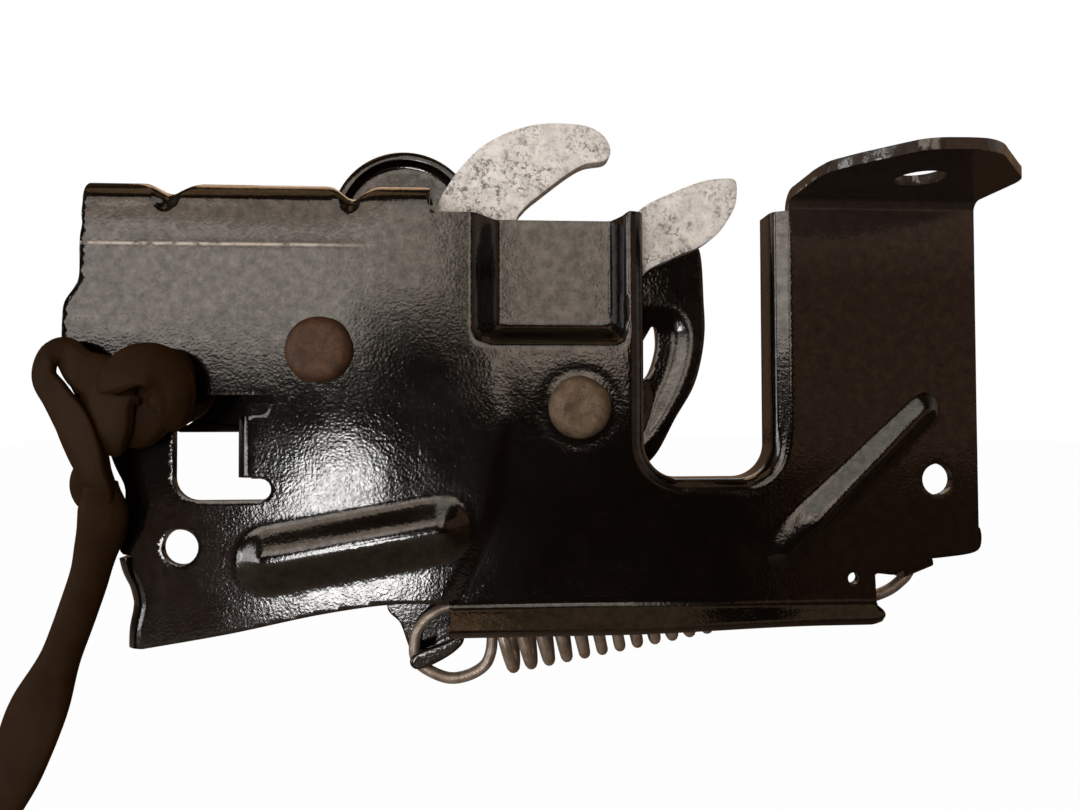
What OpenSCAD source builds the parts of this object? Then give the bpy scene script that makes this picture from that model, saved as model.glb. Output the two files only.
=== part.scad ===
// Bonnet latch: a pressed plate with a rotary fork, pawl, ejector lever and switch lead.
// X runs right along the plate, Y runs back from its front face and Z is up as mounted.
// The origin is the mouth of the left fixing hole.

/* [Plate] */
// Thickness of the pressed sheet
sheet = 2; // [1.8:0.1:2.2]
// Diameter of the left fixing hole
left_hole_d = 7; // [6:0.1:8]
// Diameter of the right fixing hole
right_hole_d = 6.5; // [6:0.1:8]
// Diameter of the hole in the ear
ear_hole_d = 9; // [8:0.1:10]
// How far the ear reaches forward
ear_reach = 31; // [27:0.5:33]
// How far the pocket is pressed back
pocket_depth = 6; // [5.5:0.1:6]
// Clear width of the striker slot
slot_w = 26.5; // [25:0.5:28]
// How far the slot's rim runs back from the front face
rim_depth = 8; // [6:0.5:8]
// How far the top flange runs back
top_flange_depth = 10; // [6:0.5:11]
// Width of the lip along the bottom
lip_w = 6; // [4:0.5:8]

/* [Mechanism] */
// Thickness of the fork and pawl
fork_t = 4; // [3.5:0.1:4]
// Thickness of the ejector lever and release arm
lever_t = 2.5; // [2:0.1:2.5]
// Diameter of the fork's pivot
fork_pin_d = 9; // [8:0.1:10]
// Diameter of the pawl's pivot
pawl_pin_d = 8; // [7:0.1:9]
// Diameter of the fork rivet's head
fork_head_d = 12.6; // [12:0.1:14]
// Diameter of the pawl rivet's head
pawl_head_d = 13.2; // [12:0.1:14]
// Wire of the long extension spring
spring_wire_d = 2.4; // [2:0.1:2.4]
// Mean diameter of the long extension spring
spring_mean_d = 14; // [13.5:0.1:14]
// Coils of the long extension spring
spring_coils = 19; // [16:1:20]

/* [Lead] */
// Width of the flat sleeved lead
lead_w = 9; // [8:0.1:9.6]
// Width of the sleeved lead where the knot pulls it narrow
knot_w = 6.4; // [5.6:0.1:6.8]
// Thickness of the flat sleeved lead
lead_t = 4.2; // [3.5:0.1:4.4]

/* [Hidden] */
$fn = 64;

// colours as they look
black_paint = "#1b1a19";
zinc = "#b9b7b0";
rust = "#6b5444";
wire_grey = "#857b72";
dark_sleeve = "#221d1a";
rubber_black = "#151515";

// pivots, holes and posts as [x, z]
left_hole = [0, 0];
right_hole = [152, 12];
pilot_hole = [134, -8];
fork_pivot = [78, 27];
pawl_pivot = [26.5, 38.5];
post = [42.5, 60];

// layers behind the front face
fork_y = rim_depth + 0.4;
lever_y = fork_y + fork_t + 0.4;
arm_y = fork_y + fork_t;
back_y = lever_y + lever_t + 0.7;
spring_y = 10.6;

// the plate's main edges
plate_right = 160.3;
plate_top = 66;
flange_top = 71.7;
flange_left = -19;
flange_right = 48;
lip_left = 52;
lip_right = 139.2;
lip_fold = -12;
slot_left = 91.5;
slot_right = slot_left + slot_w;
slot_bottom = 12.5;
slot_corner_r = 7.5;
rim_r = 3.2;
flange_r = 4;
ear_left = 121;
ear_top = 71.5;
ear_mid = (ear_left + plate_right) / 2;
ear_round_r = (plate_right - ear_left) / 2;
ear_hole_y = -15;

// slab between two depths, drawn in x and z
module slab(y0, y1) {
    translate([0, y1, 0]) rotate([90, 0, 0]) linear_extrude(y1 - y0) children();
}

// profile drawn in y and z, run along x
module along_x(x0, x1) {
    translate([x0, 0, 0]) rotate([90, 0, 90]) linear_extrude(x1 - x0) children();
}

// round pin along y at [x, z]
module pin(at, d, y0, y1) {
    translate([at[0], y1, at[1]]) rotate([90, 0, 0]) cylinder(d = d, h = y1 - y0);
}

// disc, bored through
module ring(at, d_out, d_in, y0, y1) {
    difference() {
        pin(at, d_out, y0, y1);
        pin(at, d_in, y0 - 1, y1 + 1);
    }
}

// bent edge: the sheet turns through a quarter round from the face at v = 0 to the face at u = 0
module bent_edge(r, depth) {
    intersection() {
        difference() {
            translate([r, r]) circle(r);
            translate([r, r]) circle(r - sheet);
        }
        square([r, r]);
    }
    if (depth > r) translate([0, r]) square([sheet, depth - r]);
}

// rod with round ends between two [x, z] points at one depth, its ends a hair wider than the rod
module round_bar(a, b, r, y) {
    run = b - a;
    far = norm(run);
    translate([a[0], y, a[1]]) rotate([0, atan2(run[0], run[1]), 0])
        cylinder(r = r - 0.05, h = far);
    for (p = [a, b]) translate([p[0], y, p[1]]) sphere(r);
}

// sweep of a flat or round section along a route
function unit(v) = v / norm(v);
function tangent(p, i) = unit(p[min(i + 1, len(p) - 1)] - p[max(i - 1, 0)]);
function carried(n, t) = unit(n - (n * t) * t);
function normals(p, n0) = [
    for (i = 0, n = carried(n0, tangent(p, 0)); i < len(p);
         i = i + 1, n = carried(n, tangent(p, min(i, len(p) - 1)))) n
];
module sweep(path, a, b, n0, sides) {
    ns = normals(path, n0);
    last = len(path) - 1;
    points = [
        for (i = [0:last], k = [0:sides - 1])
            let (t = tangent(path, i), n = ns[i], w = 360 * k / sides)
            path[i] + a * cos(w) * n + b * sin(w) * cross(t, n)
    ];
    walls = [
        for (i = [0:last - 1], k = [0:sides - 1])
            let (j = (k + 1) % sides)
            [i * sides + k, i * sides + j, (i + 1) * sides + j, (i + 1) * sides + k]
    ];
    near = [for (k = [sides - 1:-1:0]) k];
    end = [for (k = [0:sides - 1]) last * sides + k];
    polyhedron(points, concat([near], walls, [end]), convexity = 10);
}

// smooth route through hand-chosen points
function spline_at(a, b, c, d, t) = 0.5 * (2 * b + (c - a) * t + (2 * a - 5 * b + 4 * c - d) * t * t
    + (3 * b - a - 3 * c + d) * t * t * t);
function smooth(p, steps) = concat([
    for (i = [0:len(p) - 2], s = [0:steps - 1])
        spline_at(p[max(i - 1, 0)], p[i], p[i + 1], p[min(i + 2, len(p) - 1)], s / steps)
], [p[len(p) - 1]]);

// front plate

// outline of the flat face, from the top left round by the left, the bottom and the right
plate_outline = [
    [flange_left, flange_top - flange_r], [-19.2, 65], [-19, 63], [-19.4, 60], [-19.4, 53],
    [-20.3, 50.5], [-22.1, 47.6], [-22.5, 44], [-22.5, 40], [-22, 34.7], [-20, 29.7], [-16, 24],
    [-13, 19], [-11.2, 13], [-11, 5], [-11.8, 0], [-8.9, -1.5], [-6.8, -19.4], [9.6, -16.6],
    [27, -13], [41, -11.4], [lip_left, lip_fold], [lip_right - 0.5, lip_fold],
    [lip_right - 0.5, -6.4], [142, -6.2], [143.5, -7.1], [151, -7.1], [152, -5], [160, -3],
    [161.2, -1], [161, 1], [plate_right, 3.5], [plate_right, ear_top - flange_r],
    [ear_left, ear_top - flange_r], [ear_left - 1, plate_top], [flange_right + 1, plate_top],
    [flange_right, flange_top - flange_r]
];

// lower left flange, from its bottom to its top
side_flange_low = [-10.8, -19.4];
side_flange_high = [-12.9, -1.5];

// pocket walls: the run of each wall over the pocket's depth
pocket_left = 56;
pocket_left_run = 6;
pocket_right = 87.5;
pocket_right_run = 3;
pocket_low = 39.3;
pocket_low_run = 5.2;

// window and its bent tab
window_low = [-0.8, 9.2];
window_high = [10.4, 29.6];
window_r = 4.6;
relief_reach = 17;
relief_h = 4;
tab_r = 3.2;

// pressed beads: ends, radius and the depth of their centre
bead_left = [[17, -2.6], [50, 3]];
bead_right = [[118, 2], [150, 28.4]];

function slope(run, depth) = run / depth;
function square_on(run) = sheet * sqrt(1 + slope(run, pocket_depth) * slope(run, pocket_depth));

// block under the pocket's floor and walls, moved out by the sheet for the outside
module pocket_block(out, floor_y, y0) {
    l = slope(pocket_left_run, pocket_depth);
    r = slope(pocket_right_run, pocket_depth);
    b = slope(pocket_low_run, pocket_depth);
    x_l = pocket_left - out * square_on(pocket_left_run);
    x_r = pocket_right + out * square_on(pocket_right_run);
    z_b = pocket_low - out * square_on(pocket_low_run);
    high = plate_top + (1 - out);
    intersection() {
        translate([0, 0, 20]) linear_extrude(high - 20) polygon([
            [x_l + l * y0, y0], [x_r - r * y0, y0],
            [x_r - r * floor_y, floor_y], [x_l + l * floor_y, floor_y]
        ]);
        along_x(40, 100) polygon([
            [y0, z_b + b * y0], [floor_y, z_b + b * floor_y], [floor_y, high], [y0, high]
        ]);
    }
}

// striker slot through the flat face, up to where its rim starts to bend
module slot_shape(grow) {
    r = slot_corner_r + grow;
    for (x = [slot_left + slot_corner_r, slot_right - slot_corner_r])
        translate([x, slot_bottom + slot_corner_r]) circle(r);
    translate([slot_left + slot_corner_r, slot_bottom - grow])
        square([slot_w - 2 * slot_corner_r, 30]);
    translate([slot_left - grow, slot_bottom + slot_corner_r]) square([slot_w + 2 * grow, 80]);
}

module slot_rim() {
    corner_z = slot_bottom + slot_corner_r;
    tall = plate_top - corner_z;
    translate([slot_left, 0, corner_z]) mirror([1, 0, 0]) linear_extrude(tall)
        bent_edge(rim_r, rim_depth);
    translate([slot_right, 0, corner_z]) linear_extrude(tall) bent_edge(rim_r, rim_depth);
    translate([slot_left + slot_corner_r, 0, slot_bottom]) rotate([0, 90, 0])
        linear_extrude(slot_w - 2 * slot_corner_r) bent_edge(rim_r, rim_depth);
    translate([slot_left + slot_corner_r, 0, corner_z]) rotate([-90, 0, 0]) rotate([0, 0, 90])
        rotate_extrude(angle = 90) translate([slot_corner_r, 0]) bent_edge(rim_r, rim_depth);
    translate([slot_right - slot_corner_r, 0, corner_z]) rotate([-90, 0, 0])
        rotate_extrude(angle = 90) translate([slot_corner_r, 0]) bent_edge(rim_r, rim_depth);
}

module window_shape() {
    w = window_high - window_low;
    difference() {
        translate(window_low) square([w[0] + tab_r, w[1]]);
        translate(window_low) square(window_r);
    }
    translate(window_low + [window_r, window_r]) circle(window_r);
    for (z = [window_low[1], window_high[1] - relief_h]) {
        translate([window_low[0] + window_r, z])
            square([relief_reach - relief_h / 2 - window_low[0] - window_r, relief_h]);
        translate([relief_reach - relief_h / 2, z + relief_h / 2]) circle(d = relief_h);
    }
}

module window_tab() {
    low = window_low[1] + relief_h + 0.2;
    high = window_high[1] - relief_h - 0.2;
    translate([window_high[0], 0, low]) linear_extrude(high - low) bent_edge(tab_r, 9);
}

// forward ear with a round end, cut off straight at its right corner
module ear() {
    back = sheet;
    translate([ear_left, back, ear_top]) mirror([0, 1, 0]) rotate([0, 90, 0])
        linear_extrude(plate_right - ear_left) bent_edge(flange_r, flange_r);
    translate([0, 0, ear_top - sheet]) linear_extrude(sheet) difference() {
        union() {
            translate([ear_left, -ear_reach + ear_round_r])
                square([2 * ear_round_r, ear_reach - ear_round_r + back - flange_r]);
            translate([ear_mid, -ear_reach + ear_round_r]) circle(ear_round_r);
        }
        translate([ear_mid, ear_hole_y]) circle(d = ear_hole_d);
        translate([ear_mid, -ear_reach])
            polygon([[3.6, -0.4], [ear_round_r + 0.8, 17.4], [30, 17.4], [30, -5], [3.6, -5]]);
    }
}

module lip() {
    s = sin(45);
    drop = lip_w * s;
    along_x(lip_left, lip_right) polygon([
        [0, lip_fold], [sheet, lip_fold], [sheet, lip_fold - sheet * (sqrt(2) - 1)],
        [sheet * s - drop, lip_fold - drop - sheet * s], [-drop, lip_fold - drop]
    ]);
}

module side_flange() {
    run = side_flange_high - side_flange_low;
    translate([side_flange_low[0], 0, side_flange_low[1]]) rotate([0, atan2(run[0], run[1]), 0])
        linear_extrude(norm(run)) bent_edge(flange_r, 9);
}

module front_plate() {
    color(black_paint) difference() {
        union() {
            difference() {
                union() {
                    slab(0, sheet) polygon(plate_outline);
                    pocket_block(1, pocket_depth + sheet, 0);
                    intersection() {
                        union() {
                            round_bar(bead_left[0], bead_left[1], 6, 4);
                            round_bar(bead_right[0], bead_right[1], 4.6, 3.2);
                        }
                        translate([-40, -10, -40]) cube([240, 10.5, 140]);
                    }
                }
                slab(-1, sheet + 0.01) slot_shape(rim_r);
                slab(-1, sheet + 1) window_shape();
                round_bar(bead_left[0], bead_left[1], 6 - sheet, 4);
                round_bar(bead_right[0], bead_right[1], 4.6 - sheet, 3.2);
            }
            slot_rim();
            window_tab();
            ear();
            lip();
            side_flange();
            translate([flange_left, 0, flange_top]) rotate([0, 90, 0])
                linear_extrude(flange_right - flange_left) bent_edge(flange_r, top_flange_depth);
            translate([143.5, 0, -7.1]) cube([7.5, 14, sheet]);
        }
        pocket_block(0, pocket_depth, -1);
        slab(-3, rim_depth + 3) slot_shape(0);
        pin(left_hole, left_hole_d, -1, sheet + 1);
        pin(right_hole, right_hole_d, -1, sheet + 1);
        pin(pilot_hole, 2.4, -1, sheet + 1);
        pin(fork_pivot, fork_pin_d, -1, sheet + 1);
        pin(pawl_pivot, pawl_pin_d, -1, sheet + 1);
        pin(post, 5, -1, sheet + 1);
    }
}

// back plate
lobe = [41.5, 67.3];
lobe_r = 15.5;
back_outline = [
    [lobe[0] - lobe_r, lobe[1]], [24, 56], [17, 44], [15.5, 37], [20, 28.5], [30, 26], [58, 19],
    [70, 14.5], [82, 14.5], [89, 20], [90, 30], [86, 42], [66, 50], [lobe[0] + lobe_r, 58],
    [lobe[0] + lobe_r, lobe[1]]
];

module back_plate() {
    color(black_paint) difference() {
        union() {
            slab(back_y, back_y + sheet) polygon(back_outline);
            pin(lobe, 2 * lobe_r, back_y, back_y + sheet);
            translate([lobe[0], back_y + sheet, lobe[1]]) rotate([90, 0, 0])
                rotate_extrude(angle = 180) translate([lobe_r - sheet, 0]) square([sheet, 4]);
        }
        pin(fork_pivot, fork_pin_d, back_y - 1, back_y + sheet + 1);
        pin(pawl_pivot, pawl_pin_d, back_y - 1, back_y + sheet + 1);
        pin(post, 5, back_y - 1, back_y + sheet + 1);
    }
}

// rivets, posts, collars and washers
module pivot_rivet(at, d, head_d) {
    pin(at, d, -0.01, back_y + sheet + 0.01);
    pin(at, head_d, -1.2, 0);
    pin(at, head_d - 1.6, -1.8, -1.2);
    pin(at, head_d, back_y + sheet, back_y + sheet + 1.6);
}

module fork_rivet() {
    color(rust) pivot_rivet(fork_pivot, fork_pin_d, fork_head_d);
}

module pawl_rivet() {
    color(rust) pivot_rivet(pawl_pivot, pawl_pin_d, pawl_head_d);
}

module spacer_post() {
    color(wire_grey) {
        pin(post, 5, 0, back_y + sheet);
        pin(post, 8, sheet, back_y);
    }
}

module fork_collar() {
    color(wire_grey) ring(fork_pivot, 12.6, fork_pin_d, sheet, fork_y - 0.1);
}

module pawl_collar() {
    color(wire_grey) ring(pawl_pivot, 11.6, pawl_pin_d, sheet, fork_y - 0.1);
}

module fork_washer() {
    color(wire_grey) ring(fork_pivot, 15, fork_pin_d, lever_y + lever_t + 0.1, back_y);
}

module pawl_washer() {
    color(wire_grey) ring(pawl_pivot, 14, pawl_pin_d, arm_y + lever_t + 0.1, back_y);
}

module stop_buffer() {
    color(rubber_black) ring(post, 13, 8, fork_y - 1, fork_y + fork_t + 0.2);
}

// springs
function coil_route(at, r, y0, y1, turns, from) = [
    for (i = [0:turns * 16])
        let (w = from + 22.5 * i)
        [at[0] + r * cos(w), y0 + (y1 - y0) * i / (turns * 16), at[1] + r * sin(w)]
];

module fork_spring() {
    coil = coil_route(fork_pivot, 7.8, 3.2, 7.2, 2.5, 200);
    color(wire_grey) sweep(concat([[64, 3.2, 17]], coil, [[86, 7.2, 22]]), 0.7, 0.7, [0, 1, 0], 8);
}

module pawl_spring() {
    coil = coil_route(pawl_pivot, 7.2, 3.2, 7.2, 2.5, 200);
    color(wire_grey) sweep(concat([[16, 3.2, 32]], coil, [[41, 7.2, 30]]), 0.7, 0.7, [0, 1, 0], 8);
}

spring_left = [52.5, spring_y, -22.5];
spring_right = [146, spring_y, -5.8];
spring_r = spring_mean_d / 2;

// point of the long spring: s along its axis, o across it in the plate's plane, d in depth
function on_spring(s, o, d) =
    let (along = unit(spring_right - spring_left), across = [-along[2], 0, along[0]])
    spring_left + s * along + o * across + d * [0, 1, 0];

function spring_route() =
    let (
        far = norm(spring_right - spring_left),
        start = spring_r + 3.9,
        pitch = (far - 2 * start) / spring_coils,
        left_loop = [for (w = [60:20:340]) on_spring(spring_r * cos(w), spring_r * sin(w), 0)],
        coil = [
            for (i = [0:spring_coils * 14])
                let (w = -90 + 360 * i / 14)
                on_spring(start + pitch * i / 14, spring_r * sin(w), -spring_r * cos(w))
        ],
        right_loop = [
            for (w = [200:20:480]) on_spring(far + spring_r * cos(w), spring_r * sin(w), 0)
        ]
    )
    concat(left_loop, coil, right_loop);

module ejector_spring() {
    color(wire_grey)
        sweep(spring_route(), spring_wire_d / 2, spring_wire_d / 2, [0, 1, 0], 7);
}

// contact switch and its lead
switch_low = [-16, 2.2, 36.5];
switch_size = [25, 9.4, 15];
switch_hole = [-10, 46];
plunger = [switch_low[0] + switch_size[0], 44];
gland = [5, 7, 36.5];

module switch_body() {
    color(rubber_black) difference() {
        union() {
            translate(switch_low) cube(switch_size);
            translate([gland[0] - 5, gland[1] - 3, gland[2] - 3]) cube([10, 6, 3.01]);
        }
        pin(switch_hole, 3.2, 0, 20);
        translate([plunger[0] - 6, gland[1], plunger[1]]) rotate([0, 90, 0])
            cylinder(d = 3.4, h = 10);
    }
}

module switch_screw() {
    top = switch_low[1] + switch_size[1];
    color(wire_grey) {
        pin(switch_hole, 3.1, sheet + 0.2, top + 0.01);
        pin(switch_hole, 5.6, top, top + 1.8);
    }
}

module switch_plunger() {
    color(zinc) translate([plunger[0] - 4, gland[1], plunger[1]]) rotate([0, 90, 0])
        cylinder(d = 3.3, h = 6.6);
}

// route of the lead: out of the switch, through the window, round the plate's end
knot_points = [
    [5, 7, 33.4], [4.8, 6.4, 30], [3.6, 3, 27.2], [2.8, -1.6, 26.4], [0.6, -5, 27.6], [-2.5, -6.6, 30.2],
    [-5.5, -7.6, 34], [-9.6, -8.3, 36.2], [-14.5, -8.3, 37], [-19, -7.5, 37.2], [-21.8, -7, 34],
    [-20.6, -7.5, 30.2], [-16.6, -8.3, 24.9], [-14.2, -7.6, 20], [-12.1, -6, 13]
];

// free run of the lead, hanging past the plate's lower left corner
lead_points = [
    [-12.1, -6, 13], [-12.1, -5, 8.9], [-12.5, -4.4, 4.7], [-13.9, -3.8, 0], [-15.4, -3.6, -5],
    [-17, -3.6, -10], [-18.7, -3.6, -15], [-20.6, -3.6, -20.1], [-22.8, -3.6, -25.6],
    [-25, -3.6, -31.1], [-28.1, -3.6, -39.4], [-32.8, -3.5, -47.4], [-36.5, -3, -55],
    [-39, -2.2, -63], [-40.4, -1.1, -72], [-40.8, 0, -82], [-40.8, 0, -92]
];

module lead_knot() {
    color(dark_sleeve)
        sweep(smooth(knot_points, 3), knot_w / 2, lead_t / 2, [1, 0, 0], 12);
}

module lead() {
    color(dark_sleeve)
        sweep(smooth(lead_points, 2), lead_w / 2, lead_t / 2, [1, 0, 0], 12);
}

plug = [-40.8, 0, -91];
plug_size = [13, 9, 22];

module connector_housing() {
    color(rubber_black) translate(plug) difference() {
        translate([-plug_size[0] / 2, -plug_size[1] / 2, -plug_size[2]]) cube(plug_size);
        translate([-plug_size[0] / 2 + 1.4, -plug_size[1] / 2 + 1.4, -plug_size[2] - 1])
            cube([plug_size[0] - 2.8, plug_size[1] - 2.8, 13]);
    }
}

module connector_lock() {
    color(wire_grey) translate(plug + [-2.5, -plug_size[1] / 2 - 1.6, -plug_size[2] + 2])
        cube([5, 1.6, 15]);
}

// moving pieces

// outline of the fork: round the open prong, down into the mouth and round the lower prong
fork_outline = [
    [48.9, 68.8], [51.5, 74.4], [54.4, 78.4], [58.4, 82.4], [63.6, 85.4], [69.3, 87.2], [75, 87.7],
    [81, 87.1], [84.5, 85], [85.8, 82], [84.7, 79.9], [80.2, 79.2], [76.4, 77.4], [70.4, 72.9],
    [67, 69.9], [65.5, 66], [66.5, 58], [71, 52.5], [79, 52], [85.5, 57], [88.8, 64], [92.3, 69.6],
    [99.4, 73.3], [105.6, 75.7], [110.1, 76.4], [112.7, 76.2], [113.2, 74.3], [112.7, 70.4],
    [110.1, 65.9], [107.7, 63.4], [104.5, 61.4], [98.8, 59], [92.8, 55.5], [90.5, 48], [91, 40],
    [92.6, 31], [92, 25], [88, 17], [78, 15], [64, 22], [61, 28], [57, 42], [50, 60]
];
fork_rim_r = 18.6;
fork_boss_r = 13;
rim_from = 195;
tooth_r = 22.5;
tooth_from = 270;
tooth_to = 283;

function on_fork(r, w) = fork_pivot + r * [cos(w), sin(w)];

module latch_fork() {
    color(zinc) difference() {
        union() {
            slab(fork_y, fork_y + fork_t) polygon(fork_outline);
            pin(fork_pivot, 2 * fork_boss_r, fork_y, fork_y + fork_t);
            slab(fork_y, fork_y + fork_t) intersection() {
                translate(fork_pivot) circle(fork_rim_r);
                polygon([
                    fork_pivot, on_fork(30, rim_from), on_fork(30, 240), on_fork(30, tooth_to)
                ]);
            }
            slab(fork_y, fork_y + fork_t) polygon([
                fork_pivot, on_fork(tooth_r, tooth_from), on_fork(tooth_r, tooth_to)
            ]);
        }
        pin(fork_pivot, fork_pin_d + 0.1, fork_y - 1, fork_y + fork_t + 1);
    }
}

// outline of the ejector lever: the lobe in the slot, then the arm to the long spring
ejector_outline = [
    [95.3, 16], [100.6, 25], [104.6, 31.6], [106.7, 38], [107.7, 44.3], [107.6, 50.8],
    [107.2, 59.2], [106.1, 62.8], [100, 65.5], [92, 64], [85, 54], [74, 40], [65, 30], [62, 20],
    [39, -13.5], [42, -22], [43.4, -27.4], [49.4, -27.6], [54, -22.7], [58, -12], [71, 6], [84, 12]
];
ejector_opening = [[88.5, 39.5], [93.2, 41], [96, 45.8], [97.2, 45.6], [97.4, 40], [95.4, 34], [91, 33]];
tongue = [47.7, -25.5];
tongue_front = 7;

module ejector_lever() {
    color(black_paint) difference() {
        union() {
            slab(lever_y, lever_y + lever_t) polygon(ejector_outline);
            translate([tongue[0], tongue_front, tongue[1]]) cube([2.4, lever_y + 1 - tongue_front, 6]);
            translate([tongue[0] - 2.4, tongue_front, tongue[1] - 2]) cube([4.8, 1.8, 8]);
        }
        slab(lever_y - 1, lever_y + lever_t + 1) polygon(ejector_opening);
        pin(fork_pivot, fork_pin_d + 0.1, lever_y - 1, lever_y + lever_t + 1);
    }
}

// outline of the pawl: arm below the fork's rim with a nose that meets the tooth
nose_from = 226;
nose_to = 238;
nose_r = tooth_r + 0.5;
pawl_outline = concat(
    [[33.5, 31], [56.4, 9.6], on_fork(27, nose_from)],
    [on_fork(nose_r, nose_from), on_fork(nose_r, nose_to)],
    [[64, 2.5], [54, 2], [30, 24], [18, 34], [24, 46], [32, 45]]
);

module pawl() {
    color(zinc) difference() {
        union() {
            slab(fork_y, fork_y + fork_t) polygon(pawl_outline);
            pin(pawl_pivot, 19, fork_y, fork_y + fork_t);
        }
        pin(pawl_pivot, pawl_pin_d + 0.1, fork_y - 1, fork_y + fork_t + 1);
        for (p = arm_rivets) pin(p, arm_rivet_d, fork_y - 1, fork_y + fork_t + 1);
    }
}

arm_rivet_d = 3;
arm_rivets = [for (w = [100, 290]) pawl_pivot + 6.7 * [cos(w), sin(w)]];
arm_outline = [
    [34, 44], [20, 46], [10, 31.4], [-5, 30.4], [-8, 29.4], [-8, 23.2], [-5, 22.2], [14, 22.2], [30, 30]
];

module release_arm() {
    color(black_paint) difference() {
        union() {
            slab(arm_y, arm_y + lever_t) polygon(arm_outline);
            pin(pawl_pivot, 19, arm_y, arm_y + lever_t);
        }
        pin(pawl_pivot, pawl_pin_d + 0.1, arm_y - 1, arm_y + lever_t + 1);
        pin([-4, 25.4], 3.4, arm_y - 1, arm_y + lever_t + 1);
        for (p = arm_rivets) pin(p, arm_rivet_d, arm_y - 1, arm_y + lever_t + 1);
    }
}

module release_arm_rivets() {
    color(wire_grey) for (p = arm_rivets) pin(p, arm_rivet_d, fork_y, arm_y + lever_t);
}

front_plate();
back_plate();
fork_rivet();
pawl_rivet();
spacer_post();
fork_collar();
pawl_collar();
fork_washer();
pawl_washer();
stop_buffer();
fork_spring();
pawl_spring();
ejector_spring();
switch_body();
switch_screw();
lead_knot();
lead();
connector_housing();
connector_lock();
latch_fork();
ejector_lever();
pawl();
release_arm();
release_arm_rivets();
switch_plunger();
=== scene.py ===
"""Bonnet latch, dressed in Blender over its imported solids.

Lengths are written in millimetres in the part's own frame: X right, Y back, Z up, with the origin
at the mouth of the left fixing hole. They become metres where a mesh is made.
"""

import math

import bmesh
import bpy
import numpy as np
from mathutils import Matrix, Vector, kdtree, noise
from mathutils.geometry import delaunay_2d_cdt


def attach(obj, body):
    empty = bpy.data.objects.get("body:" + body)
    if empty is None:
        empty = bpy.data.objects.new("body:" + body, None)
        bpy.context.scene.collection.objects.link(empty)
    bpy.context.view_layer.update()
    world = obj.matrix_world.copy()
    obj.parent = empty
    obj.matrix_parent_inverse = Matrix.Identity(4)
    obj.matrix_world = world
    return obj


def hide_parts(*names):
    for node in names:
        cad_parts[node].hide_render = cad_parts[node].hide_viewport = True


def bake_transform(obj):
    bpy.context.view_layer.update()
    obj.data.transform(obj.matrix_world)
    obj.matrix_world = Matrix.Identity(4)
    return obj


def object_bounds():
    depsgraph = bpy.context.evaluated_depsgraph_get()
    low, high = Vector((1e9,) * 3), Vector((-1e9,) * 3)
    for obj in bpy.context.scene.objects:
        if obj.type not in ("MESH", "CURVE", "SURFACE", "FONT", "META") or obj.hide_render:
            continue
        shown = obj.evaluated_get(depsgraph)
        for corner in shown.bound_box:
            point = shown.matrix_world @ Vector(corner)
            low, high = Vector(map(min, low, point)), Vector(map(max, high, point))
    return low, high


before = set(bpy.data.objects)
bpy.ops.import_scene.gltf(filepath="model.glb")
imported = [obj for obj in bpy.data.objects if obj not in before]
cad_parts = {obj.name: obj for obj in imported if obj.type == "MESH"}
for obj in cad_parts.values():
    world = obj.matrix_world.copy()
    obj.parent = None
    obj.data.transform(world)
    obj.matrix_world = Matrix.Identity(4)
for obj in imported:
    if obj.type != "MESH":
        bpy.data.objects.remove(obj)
cad_low, cad_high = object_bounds()

MM = 0.001
SHEET = 2.0
FORK_PIVOT = (78.0, 27.0)
PAWL_PIVOT = (26.5, 38.5)
POST = (42.5, 60.0)
FORK_SHANK_R = 4.5
FORK_BORE_R = 4.55
PAWL_SHANK_R = 4.0
POST_NECK_R = 2.5


# lines and areas

STEP = 0.9
SPAN_SAMPLES = 16
ROW_HEIGHT = 0.866
GUIDE_CLEAR = 0.62
BORDER_CLEAR = 0.6


def spline(points, spacing=STEP, closed=False):
    """Smooth line through the points, resampled at an even spacing."""
    p = np.array(points, float)
    if closed:
        p = np.concatenate([p[-1:], p, p[:2]])
    else:
        p = np.concatenate([p[:1], p, p[-1:]])
    fine = []
    for a, b, c, d in zip(p, p[1:], p[2:], p[3:]):
        for t in np.linspace(0, 1, SPAN_SAMPLES, endpoint=False):
            fine.append(
                0.5 * (2 * b + (c - a) * t + (2 * a - 5 * b + 4 * c - d) * t**2
                       + (3 * b - a - 3 * c + d) * t**3)
            )
    fine.append(p[-2])
    return resampled(np.array(fine), spacing, closed)


def resampled(line, spacing=STEP, closed=False):
    """The same line with points at an even spacing."""
    run = np.concatenate([[0], np.cumsum(np.linalg.norm(np.diff(line, axis=0), axis=1))])
    steps = max(2, round(run[-1] / spacing))
    at = np.linspace(0, run[-1], steps + 1)
    even = np.stack([np.interp(at, run, line[:, k]) for k in range(line.shape[1])], axis=1)
    return even[:-1] if closed else even


def straight(a, b, spacing=STEP):
    """Points from a to b, both included."""
    return resampled(np.array([a, b], float), spacing)


def arc(centre, radius, start, end, spacing=STEP):
    """Points on an arc between two angles in degrees."""
    steps = max(4, round(abs(math.radians(end - start)) * radius / spacing))
    w = np.radians(np.linspace(start, end, steps + 1))
    return np.stack([centre[0] + radius * np.cos(w), centre[1] + radius * np.sin(w)], axis=1)


def joined(*runs):
    """One line from several that meet end to start."""
    line = [runs[0]]
    for run in runs[1:]:
        same = np.linalg.norm(line[-1][-1] - run[0]) < 1e-6
        line.append(run[1:] if same else run)
    return np.concatenate(line)


def traced(start, *steps):
    """Line from a start. Each step is a point to go straight to, or an arc's centre, radius and angles."""
    runs = []
    at = start
    for step in steps:
        runs.append(straight(at, step) if len(step) == 2 else arc(*step))
        at = runs[-1][-1]
    return joined(*runs)


def unit(rows):
    """The same directions, each of length 1."""
    return rows / np.linalg.norm(rows, axis=1)[:, None]


def directions(line):
    """The way the line goes at each of its points."""
    return unit(np.gradient(line, axis=0))


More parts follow.
